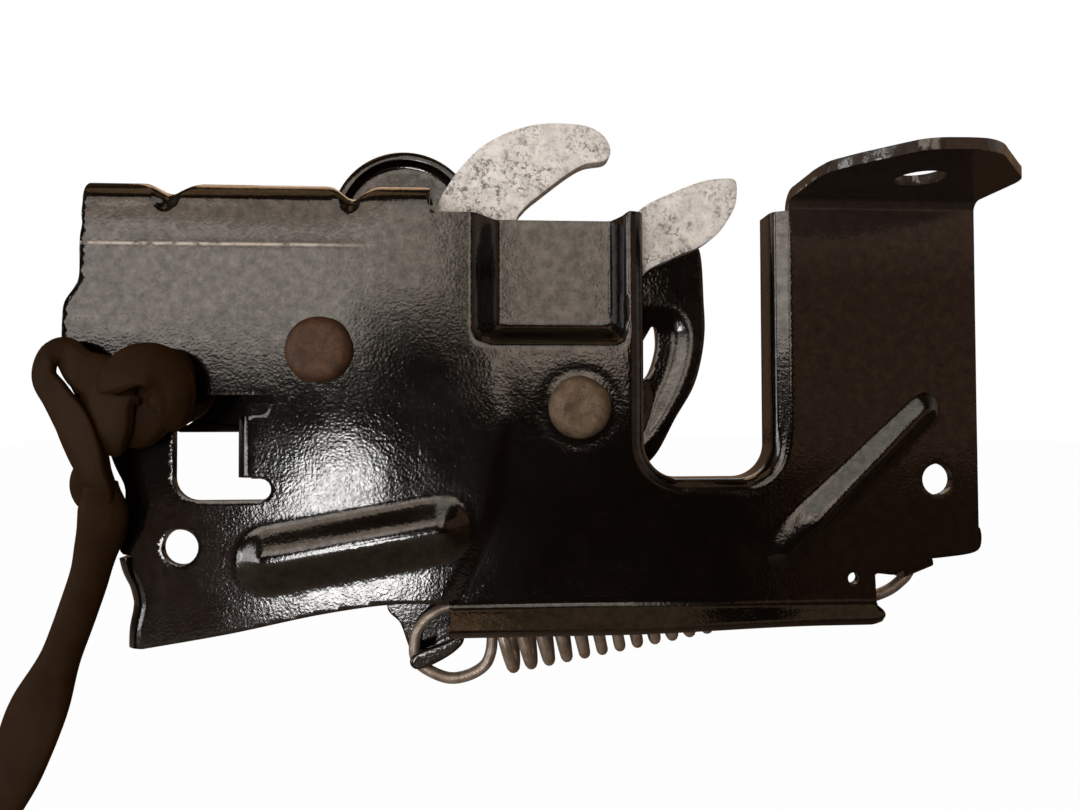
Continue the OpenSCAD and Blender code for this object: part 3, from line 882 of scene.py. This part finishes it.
def lip_strip(shape, run):
    """The lip along the bottom, folded forward and down, narrower towards its right end."""
    face = plate_depth(run[:, 0], run[:, 1])
    end = ramp(run[:, 0], LIP_ENDS[1] - 2.3, LIP_ENDS[1])
    width = LIP_WIDTH - 1.2 * ramp(run[:, 0], 85, 128) - 0.7 * end**2
    rows = []
    turns = np.linspace(0, math.pi / 4, 6)
    for turn in turns:
        y = face * (1 - turn / turns[-1]) - LIP_R * (1 - math.cos(turn))
        rows.append((run[:, 0], y, run[:, 1] - LIP_R * math.sin(turn)))
    x0, y0, z0 = rows[-1]
    for part in np.linspace(0, 1, 7)[1:]:
        reach = (width - 1.6) * part / math.sqrt(2)
        rows.append((x0 + 0.9 * end * math.sin(2.3 * part), y0 - reach, z0 - reach))
    shape.add_rows([np.column_stack(row) for row in rows])


def build_front_plate():
    runs = flat_runs()
    tab, cut = window_runs()
    border = joined(*runs.values())[:-1]
    window = joined(tab, cut)[:-1]
    holes = [ring_loop(centre, radius) for centre, radius in HOLES]
    points, faces = fill([border, window, *holes], STEP, slope_guides())
    depth = plate_depth(points[:, 0], points[:, 1])
    shape = Shape()
    shape.add(at_depth(points, depth), faces)
    top = runs["top"]
    bend_back(shape, top, FLANGE_R, FLANGE_DEPTH, lambda part: darts(top[:, 0], part, FLANGE_DARTS))
    flange = runs["flange"]
    bend_back(shape, flange, SIDE_R, SIDE_DEPTH, lambda part: darts(flange[:, 1], part, SIDE_DARTS))
    slot = runs["slot"]
    flatter = ramp(slot[:, 0], 116, 121) * ramp(slot[:, 1], 17, 24)
    bend_back(shape, slot, RIM_R, RIM_DEPTH, flat=flatter)
    bend_back(shape, tab, RIM_R, TAB_DEPTH)
    bend_back(shape, runs["lug"], LUG_R, LUG_DEPTH)
    ear_strip(shape, runs["ear"])
    lip_strip(shape, runs["lip"])
    sheet("pressed_plate", shape, SHEET, 0.3, PAINT, "frame", ["front_plate"])


build_front_plate()


# fork, lever and back plate

FORK_Y = 8.4
FORK_T = 4.0
LEVER_Y = 12.8
LEVER_T = 2.5
LEVER_SINK = 0.2
LEVER_FALL = 0.95
BACK_Y = 16.0


def round_fork(radius, degrees):
    """Point at a radius and an angle round the fork's pivot."""
    w = math.radians(degrees)
    return (FORK_PIVOT[0] + radius * math.cos(w), FORK_PIVOT[1] + radius * math.sin(w))


FORK_PRONGS = [
    (57, 42), (50.2, 60), (48.9, 68.8), (51.5, 74.4), (54.4, 78.4), (58.4, 82.4), (63.6, 85.4),
    (69.3, 87.2), (75, 87.7), (81, 87.1), (84.5, 85), (85.8, 82), (84.7, 79.9), (80.3, 79),
    (76.6, 76.9), (70.8, 72.4), (67.3, 69.4), (65.5, 66), (66.5, 58), (71, 52.5), (79, 52), (85.5, 57),
    (88.8, 64), (92.3, 69.6), (99.4, 73.3), (105.6, 75.7), (110.1, 76.4), (112.7, 76.2),
    (113.2, 74.3), (112.7, 70.4), (110.1, 65.9), (107.7, 63.4), (104.5, 61.4), (98.8, 59),
    (92.8, 55.5), (90.5, 48), (91, 40), (92.6, 31), (92, 25),
]


FORK_HUB_R = 14.2
FORK_RIM_R = 18.6
FORK_TOOTH_R = 22.2


def flat_piece(name, loops, depth, thickness, edge, look, body, replaces, spacing=1.0):
    """Cut plate with rounded edges: its front face lies at a depth, or follows one given as a function."""
    points, faces = fill(loops, spacing)
    y = depth(points[:, 0], points[:, 1]) if callable(depth) else depth
    shape = Shape()
    shape.add(at_depth(points, y), faces)
    sheet(name, shape, thickness, edge, look, body, replaces)


def build_fork():
    """Zinc plated fork: two prongs round the mouth, the rim and the tooth that the pawl holds."""
    prongs = spline(FORK_PRONGS, 0.8)
    hub = arc(FORK_PIVOT, FORK_HUB_R, -10, -72, 0.8)
    rim = arc(FORK_PIVOT, FORK_RIM_R, 268, 195, 0.8)
    tooth = np.array([
        round_fork(FORK_RIM_R, 286), round_fork(FORK_TOOTH_R, 283), round_fork(FORK_TOOTH_R, 270),
    ])
    closing = straight(rim[-1], prongs[0], 0.8)
    border = joined(prongs, hub, resampled(tooth, 0.8), rim, closing)[:-1]
    bore = ring_loop(FORK_PIVOT, FORK_BORE_R)
    flat_piece("fork_plate", [border, bore], FORK_Y, FORK_T, 0.55, ZINC, "fork", ["latch_fork"])


LEVER_EDGE = [
    (95.3, 16), (100.6, 25), (104.5, 31.6), (106.4, 38), (107.2, 44.3), (107, 50.8), (106.6, 59.2),
    (105.6, 62.8), (102.2, 65.2), (97, 65.4), (92, 63), (85, 54), (74, 40), (65, 30), (62, 20),
    (50, 2), (38.4, -13.2), (40.9, -18.8), (42.6, -23.6), (43.7, -26.2), (46.2, -26.6),
    (50, -24.9), (53, -23), (54.6, -20.4), (57, -13), (64, -3), (71, 5), (79, 9.6), (88, 12),
]
LEVER_OPENING = [
    (89.2, 38), (92.2, 39.8), (94.2, 42.8), (95.6, 45), (96.5, 44.2), (96.6, 40), (95, 34.8),
    (92.6, 32.6), (89.8, 34.4),
]
LEVER_RIDGE = [
    (98.5, 50.4), (101.4, 47), (102.3, 42.1), (101.2, 35.9), (98.6, 29.7), (94.9, 23.5),
    (91.5, 19.4), (86, 14.5),
]


def lever_depth(x, z):
    """The lever's face. Left of the crest along its arm it falls back, as a round bar does, except
    near the pivot, where it passes the back plate."""
    crest = spline(LEVER_RIDGE, 1.2)
    crest = crest[np.argsort(crest[:, 1])]
    left_of_crest = np.interp(z, crest[:, 1], crest[:, 0]) - x
    from_pivot = np.hypot(x - FORK_PIVOT[0], z - FORK_PIVOT[1])
    clear_of_back = ramp(x, 90.0, 93.5) * ramp(from_pivot, 14.0, 18.0)
    fall = ramp(left_of_crest, -2.3, 2.3) * (1 - ramp(z, 43.0, 50.5)) * clear_of_back
    return LEVER_Y + LEVER_SINK + LEVER_FALL * fall


def build_lever():
    border = spline(LEVER_EDGE, 0.8, closed=True)
    opening = spline(LEVER_OPENING, 0.6, closed=True)
    bore = ring_loop(FORK_PIVOT, FORK_BORE_R)
    flat_piece("lever_plate", [border, opening, bore], lever_depth, LEVER_T, 0.7, PAINT, "ejector",
               ["ejector_lever"], spacing=0.7)


LUG_NOSE = [
    (43.5, -24.7), (45.1, -23.3), (47.2, -22.5), (50.5, -21.4), (53.6, -20), (54.5, -20.4),
    (54.4, -21.3), (53.6, -22.4), (51.4, -24.1), (47.7, -26), (45.1, -26.7), (43.8, -26.1),
]
LUG_STEM = [(48.6, -21.7), (53.8, -19.7), (54.2, -21.4), (53.3, -22.6), (49.4, -25)]


# name, outline, front face and thickness, rounding
LUG = [("lug_nose", LUG_NOSE, 6.8, 2.2, 0.5), ("lug_stem", LUG_STEM, 8.6, 4.6, 0.2)]


def build_lug():
    """Lug on the lever's lower end that the long spring hooks over: a stem and a nose in front."""
    for name, outline, front, thickness, edge in LUG:
        border = spline(outline, 0.4, closed=True)
        flat_piece(name, [border], front, thickness, edge, PAINT, "ejector", (), spacing=0.8)


BACK_LOBE = (41.5, 67.3)
BACK_LOBE_R = 15.5
BACK_RIM_R = 1.6
BACK_RIM_IN = 3.2
BACK_EDGE = [
    (26, 67.3), (24, 56), (17, 44), (15.5, 37), (20, 28.5), (30, 26), (58, 19), (70, 14.5), (82, 14.5),
    (89, 20), (90, 30), (86, 42), (66, 50), (57, 58), (57, 67.3),
]


def build_back_plate():
    """Back plate whose round top has a rim turned forward."""
    corners = spline(BACK_EDGE[1:-1], 1.0)
    start = straight(BACK_EDGE[0], corners[0], 1.0)
    end = straight(corners[-1], BACK_EDGE[-1], 1.0)
    sides = joined(start, corners, end)
    inner = BACK_LOBE_R - BACK_RIM_IN
    bend = arc(BACK_LOBE, inner, 0, 180, 1.0)
    to_bend = straight(sides[-1], bend[0], 0.8)
    from_bend = straight(bend[-1], sides[0], 0.8)
    border = joined(sides, to_bend, bend, from_bend)[:-1]
    bores = [
        ring_loop(FORK_PIVOT, FORK_SHANK_R), ring_loop(PAWL_PIVOT, PAWL_SHANK_R),
        ring_loop(POST, POST_NECK_R),
    ]
    points, faces = fill([border, *bores], 1.2)
    shape = Shape()
    shape.add(at_depth(points, BACK_Y), faces)
    rows = []
    for turn in np.linspace(0, math.pi / 2, 7):
        radius = inner + BACK_RIM_R * math.sin(turn)
        rim = arc(BACK_LOBE, radius, 0, 180, radius / inner)
        rows.append(at_depth(rim, BACK_Y - BACK_RIM_R * (1 - math.cos(turn))))
    shape.add_rows(rows)
    sheet("back_pressing", shape, SHEET, 0.4, PAINT, "frame", ["back_plate"])


build_fork()
build_lever()
build_lug()
build_back_plate()


# rivets and post

HEAD_DENTS = 0.22
HEAD_PUSH = 0.25


def build_rivet(name, at, radius, shank, look, replaces, seed):
    """Pivot rivet: a set head on the front, hammered uneven, and a flat head behind."""
    profile = [
        (0.01, -1.75), (1.2, -1.8), (2.4, -1.95), (radius - 2.2, -1.9), (radius - 1.0, -1.6),
        (radius - 0.3, -1.0), (radius, -0.3), (radius, 0.3), (shank, 0.3), (shank, 18.0),
        (radius, 18.0), (radius, 19.2), (radius - 0.5, 19.6), (0.01, 19.6),
    ]
    fine = []
    for (r0, y0), (r1, y1) in zip(profile[:-1], profile[1:]):
        steps = max(1, round(math.hypot(r1 - r0, y1 - y0) / 0.6))
        for k in range(steps):
            fine.append((r0 + (r1 - r0) * k / steps, y0 + (y1 - y0) * k / steps))
    fine.append(profile[-1])
    rows = []
    for row in lathe(fine, at, 64):
        moved = []
        for x, y, z in row:
            if y < 0:
                y += HEAD_DENTS * noise.noise(((x + seed) / 2.6, y / 4, z / 2.6))
                push = HEAD_PUSH * noise.noise(((x + seed) / 5, 3.0, z / 5))
                x += push
                z += push
            moved.append((x, y, z))
        rows.append(moved)
    rivet = piece(name, closed_tube(rows), look, "frame", replaces)
    rivet.data.set_sharp_from_angle(angle=math.radians(50))


build_rivet("fork_rivet_set", FORK_PIVOT, 6.3, FORK_SHANK_R, FORK_RIVET, ["fork_rivet"], 3.0)
build_rivet("pawl_rivet_set", PAWL_PIVOT, 6.6, PAWL_SHANK_R, PAWL_RIVET, ["pawl_rivet"], 11.0)


def build_post():
    """Shouldered post between the two plates, riveted over at the back only."""
    profile = [
        (0.01, 3.2), (4, 3.2), (4, BACK_Y), (POST_NECK_R, BACK_Y), (POST_NECK_R, 18.3), (2.2, 18.5),
        (0.01, 18.5),
    ]
    post = piece("post", closed_tube(lathe(profile, POST, 48)), WIRE, "frame", ["spacer_post"])
    post.data.set_sharp_from_angle(angle=math.radians(40))


build_post()


# long extension spring

SPRING_LEFT = np.array((52.5, 10.6, -22.5))
SPRING_RIGHT = np.array((146.0, 10.6, -5.8))
SPRING_LENGTH = np.linalg.norm(SPRING_RIGHT - SPRING_LEFT)
SPRING_R = 7.0
SPRING_WIRE = 1.2
SPRING_COILS = 19
COIL_POINTS = 24
SPRING_START = 11.5
LEFT_HOOK = [
    (53.5, -14.2), (49.9, -15.1), (46.9, -16.9), (44.8, -19.4), (44.1, -22.4), (44.3, -25.2),
    (45.9, -27.2), (49.4, -29.1), (52.4, -29.7), (56, -28.9), (58.9, -27), (60.1, -24.2),
    (60.4, -20.9), (60.8, -17),
]
RIGHT_HOOK = [
    (136.5, -15.3), (140.5, -14.8), (143.9, -13.9), (146.7, -12.8), (148.8, -11.4), (151, -9.2),
    (152.2, -5.5), (151.2, -1.5), (147.8, 0.9), (144, 0.6), (141.5, -1.8),
]


def spring_point(s, across, back):
    """Point of the spring: s along its axis, across it in the plate's plane, and back from it."""
    along = (SPRING_RIGHT - SPRING_LEFT) / SPRING_LENGTH
    up = np.array((-along[2], 0, along[0]))
    return SPRING_LEFT + s * along + across * up + np.array((0, back, 0))


def build_spring():
    """Hook loop, coils and hook loop of one wire."""
    pitch = (SPRING_LENGTH - 2 * SPRING_START) / SPRING_COILS
    line = [np.array((x, SPRING_LEFT[1], z)) for x, z in LEFT_HOOK]
    count = (SPRING_COILS - 1) * COIL_POINTS + COIL_POINTS // 2 + 1
    for turn in np.linspace(-0.5, SPRING_COILS - 1, count):
        w = 2 * math.pi * turn - math.pi / 2
        across, back = SPRING_R * math.sin(w), SPRING_R * math.cos(w)
        line.append(spring_point(SPRING_START + pitch * turn, across, back))
    line += [np.array((x, SPRING_LEFT[1], z)) for x, z in RIGHT_HOOK]
    shape = closed_tube(wire(spline(line, 0.7), SPRING_WIRE, 12))
    spring = piece("long_spring", shape, WIRE, None, ["ejector_spring"])
    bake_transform(spring)


build_spring()


# knot in the lead

KNOT_MIDDLE = (-5.5, 30.0)
KNOT_WOBBLE = 0.08
KNOT_CREASE = 0.16
# each row is x, y, z, half width and half thickness of the flat sleeve
KNOT_LOOP = [
    (-8.3, -4, 33.2, 4.8, 1.4), (-12.8, -4, 32.7, 5.2, 1.4), (-16.5, -4, 34.4, 4.2, 1.35),
    (-19.5, -4, 37.4, 3.0, 1.3), (-22.5, -4, 36.9, 2.7, 1.3), (-23.4, -4, 33, 2.8, 1.3),
    (-20.9, -4.2, 28.9, 3.5, 1.4), (-17.5, -4.9, 23.8, 4.4, 1.5), (-14.3, -6, 18.4, 3.9, 1.7),
    (-12.9, -6.2, 14.8, 3.4, 1.9), (-12.2, -5.7, 11.5, 4.0, 1.95), (-12.1, -5, 7.8, 3.9, 1.75),
]
KNOT_WRAP = [
    (-12.6, -6, 29.7, 1.5, 1.1), (-9.7, -6.6, 32.4, 3.4, 1.4), (-6.2, -6.9, 34.5, 4.3, 1.5),
    (-2.8, -6.7, 34.8, 4.4, 1.6), (-0.2, -6, 33, 4.1, 1.6), (0.9, -5.2, 29.7, 3.6, 1.6),
    (0.4, -4.4, 25.9, 3.1, 1.5), (-1.5, -3.6, 22.7, 2.5, 1.3),
]
KNOT_UNDER = [
    (-7.5, -4.6, 33.4, 3.6, 1.3), (-10.5, -5.4, 30, 6.3, 1.5), (-10.6, -5.9, 27.2, 5.6, 1.6),
    (-9.8, -6, 24, 3.9, 1.6), (-9.8, -5.8, 21, 2.8, 1.5), (-9.5, -5.5, 17.8, 1.9, 1.3),
]
KNOT_FOLD = [
    (-2.8, -4, 34.8, 3.2, 1.4), (-2.4, -4.2, 31.4, 3.9, 1.6), (-2.4, -4.4, 27.9, 4.1, 1.7),
    (-3.8, -4.2, 24.6, 3.7, 1.6), (-6.4, -3.8, 21.9, 2.9, 1.4), (-8.9, -3.4, 20.4, 2.0, 1.1),
]
KNOT_BUMP = [
    (-2.4, -3.6, 37.4, 1.6, 1.3), (0.6, -3.4, 35.8, 2.0, 1.3), (2.0, -3.2, 33.2, 1.8, 1.3),
    (1.6, -3, 30.1, 1.6, 1.2),
]
KNOT_TAIL = [
    (-14.4, -5, 17.1, 1.6, 1.1), (-16.1, -4.8, 14.6, 1.6, 1.2), (-16.5, -4.5, 11.5, 1.5, 1.1),
    (-15.9, -4, 8.2, 0.9, 0.9),
]
KNOT_INLET = [
    (2, 7, 34.5, 3.1, 2.0), (1.6, 6.4, 30, 3.1, 2.0), (0.6, 3, 27.2, 3.1, 2.0), (0, -1.6, 26.4, 3.1, 2.0),
    (-1, -4.5, 27.6, 3.1, 1.9), (-2.5, -6, 30.2, 3.1, 1.8),
]


def sleeve_run(shape, run, bulge, seed):
    """Soft flat run of sleeve that faces forward and, by the bulge, out from the knot's middle. Its
    edges are a little uneven, it has lengthwise creases and its ends are drawn in."""
    line = spline(run, 0.5)
    part = np.linspace(0, 1, len(line))
    ends = np.sqrt(np.clip(1 - (2 * part - 1) ** 8, 0.02, 1))
    steps = np.arange(len(line))
    wobble = np.array([noise.noise((seed, k * 0.07, 0.0)) for k in steps])
    lean = 0.25 * np.array([noise.noise((seed + 5, k * 0.05, 0.0)) for k in steps])
    out_x = bulge * (line[:, 0] - KNOT_MIDDLE[0]) / 8
    out_z = bulge * (line[:, 2] - KNOT_MIDDLE[1]) / 8
    facing = np.column_stack([out_x + lean, np.full(len(line), -1.0), out_z])
    width = line[:, 3] * (1 + KNOT_WOBBLE * wobble) * ends
    route = np.column_stack([line[:, :3], width, line[:, 4] * ends, facing])
    creased = []
    for k, (row, middle) in enumerate(zip(ribbon(route, sides=48, power=2.6), line[:, :3])):
        crease = []
        for w in round_angles(len(row)):
            place = (seed * 3 + 1.7 * math.cos(w), 1.7 * math.sin(w), k * 0.035)
            crease.append(noise.noise(place))
        creased.append(middle + (row - middle) * (1 + KNOT_CREASE * np.array(crease)[:, None]))
    shape.add_rows(creased, around=True, ends=True)


def build_knot():
    """The sleeved lead tied round itself in front of the plate's left end."""
    shape = Shape()
    runs = [
        (KNOT_INLET, 0.0), (KNOT_LOOP, 0.25), (KNOT_FOLD, 0.5), (KNOT_UNDER, 0.4), (KNOT_BUMP, 0.7),
        (KNOT_TAIL, 0.0), (KNOT_WRAP, 0.7),
    ]
    for seed, (run, bulge) in enumerate(runs, start=1):
        sleeve_run(shape, run, bulge, float(seed))
    piece("lead_knot_sleeve", shape, SLEEVE, "frame", ["lead_knot"])


build_knot()


# pieces that keep their solids


def dress(name, look, edge):
    """Gives a solid its slot's material and slightly rounded edges."""
    slot, material = look
    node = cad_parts[name]
    node.data.materials.clear()
    node.data.materials.append(material)
    weld = node.modifiers.new("weld", "WELD")
    weld.merge_threshold = 1e-6
    if edge:
        round_edges(node, edge, 35).harden_normals = True


SMALL_METAL = [
    "fork_collar", "pawl_collar", "fork_washer", "pawl_washer", "switch_screw", "release_arm_rivets",
]
DRESSED = [
    (WIRE, 0.2, SMALL_METAL),
    (WIRE, 0, ["fork_spring", "pawl_spring"]),
    (RUBBER, 0.4, ["stop_buffer"]),
    (PAINT, 0.4, ["release_arm"]),
    (ZINC, 0.4, ["pawl"]),
    (ZINC, 0.2, ["switch_plunger"]),
    (PLASTIC, 0.5, ["switch_body", "connector_housing"]),
    (PLASTIC, 0.3, ["connector_lock"]),
]
for look, edge, names in DRESSED:
    for name in names:
        dress(name, look, edge)


# stage


FLOOR_SIZE = 8.0
FLOOR_AT = (0.05, 3.6)
FLOOR_GAP = 0.012
FLOOR_WHITE = 0.985


def add_floor():
    """Pale floor under the hanging part, with a soft shadow and no visible edge."""
    height = cad_low[2] - FLOOR_GAP
    bpy.ops.mesh.primitive_plane_add(size=FLOOR_SIZE, location=(*FLOOR_AT, height))
    floor = bpy.context.object
    floor.name = "floor"
    p = Paint("floor")
    across, _ = p.across_and_up()
    tint = p.mix(p.noise(40, detail=2), (0.42, 0.38, 0.34), (0.46, 0.42, 0.375))
    tint = p.mix(p.span(across, 0.0, 0.14), tint, (0.12, 0.085, 0.055))
    p.finish(tint, 0.8)
    white = p.add("ShaderNodeEmission", Strength=1.0)
    surface = p.either(p.times(p.seen_directly(), FLOOR_WHITE), p.shader, white)
    p.set(p.tree.nodes["Material Output"], "Surface", surface)
    floor.data.materials.append(p.material)


# how far back in the view, from 0 in front to 1 behind, and the room's colour there
ROOM = [
    (0.0, (0.022, 0.014, 0.010)), (0.14, (0.022, 0.014, 0.010)), (0.27, (0.44, 0.37, 0.31)),
    (0.55, (0.44, 0.36, 0.30)), (0.75, (0.20, 0.12, 0.07)), (1.0, (0.20, 0.12, 0.07)),
]
ROOM_TOP = (0.075, 0.048, 0.028)


def add_world():
    """White to the camera. To the surfaces it is a room: dark in front, soft at the sides, brown above."""
    world = bpy.data.worlds.new("room")
    bpy.context.scene.world = world
    world.use_nodes = True
    world.node_tree.nodes.clear()
    n = Nodes(world.node_tree)
    way = n.add("ShaderNodeTexCoord").outputs["Generated"]
    parts = n.add("ShaderNodeSeparateXYZ", Vector=way).outputs
    room = n.add("ShaderNodeValToRGB", Fac=n.span(parts["Y"], -1, 1))
    stops = room.color_ramp.elements
    while len(stops) < len(ROOM):
        stops.new(0.5)
    for stop, (back, colour) in zip(stops, ROOM):
        stop.position = back
        stop.color = (*colour, 1)
    colour = n.mix(n.span(parts["Z"], 0.3, 0.7), room.outputs["Color"], ROOM_TOP)
    soft = n.add("ShaderNodeBackground", Color=colour)
    white = n.add("ShaderNodeBackground", Color=(1, 1, 1, 1))
    n.add("ShaderNodeOutputWorld", Surface=n.either(n.seen_directly(), soft, white))


AIM = (0.07, 0, 0.027)
LAMP_ROLL = math.radians(-42)
# name, place, width and height, radiance and, where they aren't plain, colour and roll
LIGHTS = [
    ("wall_left", (-0.21, -0.60, 0.165), (0.31, 0.16), 3.4, (1, 0.89, 0.79)),
    ("wall_gap", (-0.025, -0.60, 0.190), (0.06, 0.11), 2.8, (1, 0.86, 0.73)),
    ("wall_step", (0.018, -0.60, 0.183), (0.028, 0.126), 2.2, (1, 0.84, 0.70)),
    ("wall_middle", (0.127, -0.60, 0.152), (0.137, 0.188), 2.6, (1, 0.83, 0.68)),
    ("wall_top", (-0.20, -0.60, 0.325), (0.34, 0.15), 2.1, (1, 0.81, 0.65)),
    ("wall_right", (0.488, -0.60, 0.130), (0.375, 0.30), 0.32, (1, 0.56, 0.36)),
    ("ceiling", (0.09, -0.60, 0.37), (0.27, 0.25), 1.8, (1, 0.93, 0.80)),
    ("lamp", (-0.096, -0.60, -0.046), (0.056, 0.095), 19.0, (1, 0.98, 0.96), LAMP_ROLL),
    ("low_lamp", (-0.075, -0.60, -0.125), (0.13, 0.055), 21.0, (1, 0.98, 0.96)),
    ("low_left", (-0.66, -0.60, -0.18), (0.25, 0.35), 5.0),
    ("left", (-0.60, -0.32, 0.06), (0.24, 0.45), 3.5),
    ("top_front", (-0.23, -0.24, 0.80), (0.42, 0.50), 0.7, (1, 0.62, 0.32)),
    ("front_left", (-0.25, -0.60, -0.13), (0.16, 0.18), 0.16, (1, 0.58, 0.38)),
    ("front_right", (0.52, -0.60, -0.10), (0.35, 0.16), 0.10, (1, 0.45, 0.25)),
    ("top_right", (0.32, -0.24, 0.80), (0.62, 0.50), 0.3, (1, 0.66, 0.38)),
    ("back", (0.10, 0.60, 0.50), (0.60, 0.30), 0.9),
    ("top_back", (0.0, 0.35, 0.60), (0.50, 0.40), 2.0, (1, 0.62, 0.35)),
]


def add_light(name, place, size, radiance, colour=(1, 1, 1), roll=0.0):
    """Soft rectangular light that looks equally bright from anywhere in front of it."""
    data = bpy.data.lights.new(name, "AREA")
    data.shape = "RECTANGLE"
    data.size, data.size_y = size
    data.energy = radiance * math.pi * size[0] * size[1]
    data.color = colour
    light = bpy.data.objects.new(name, data)
    bpy.context.scene.collection.objects.link(light)
    light.location = place
    light.rotation_euler = (Vector(AIM) - Vector(place)).to_track_quat("-Z", "Y").to_euler()
    light.rotation_euler.rotate_axis("Z", roll)


add_floor()
add_world()
for row in LIGHTS:
    add_light(*row)
bpy.context.scene.view_settings.view_transform = "Standard"
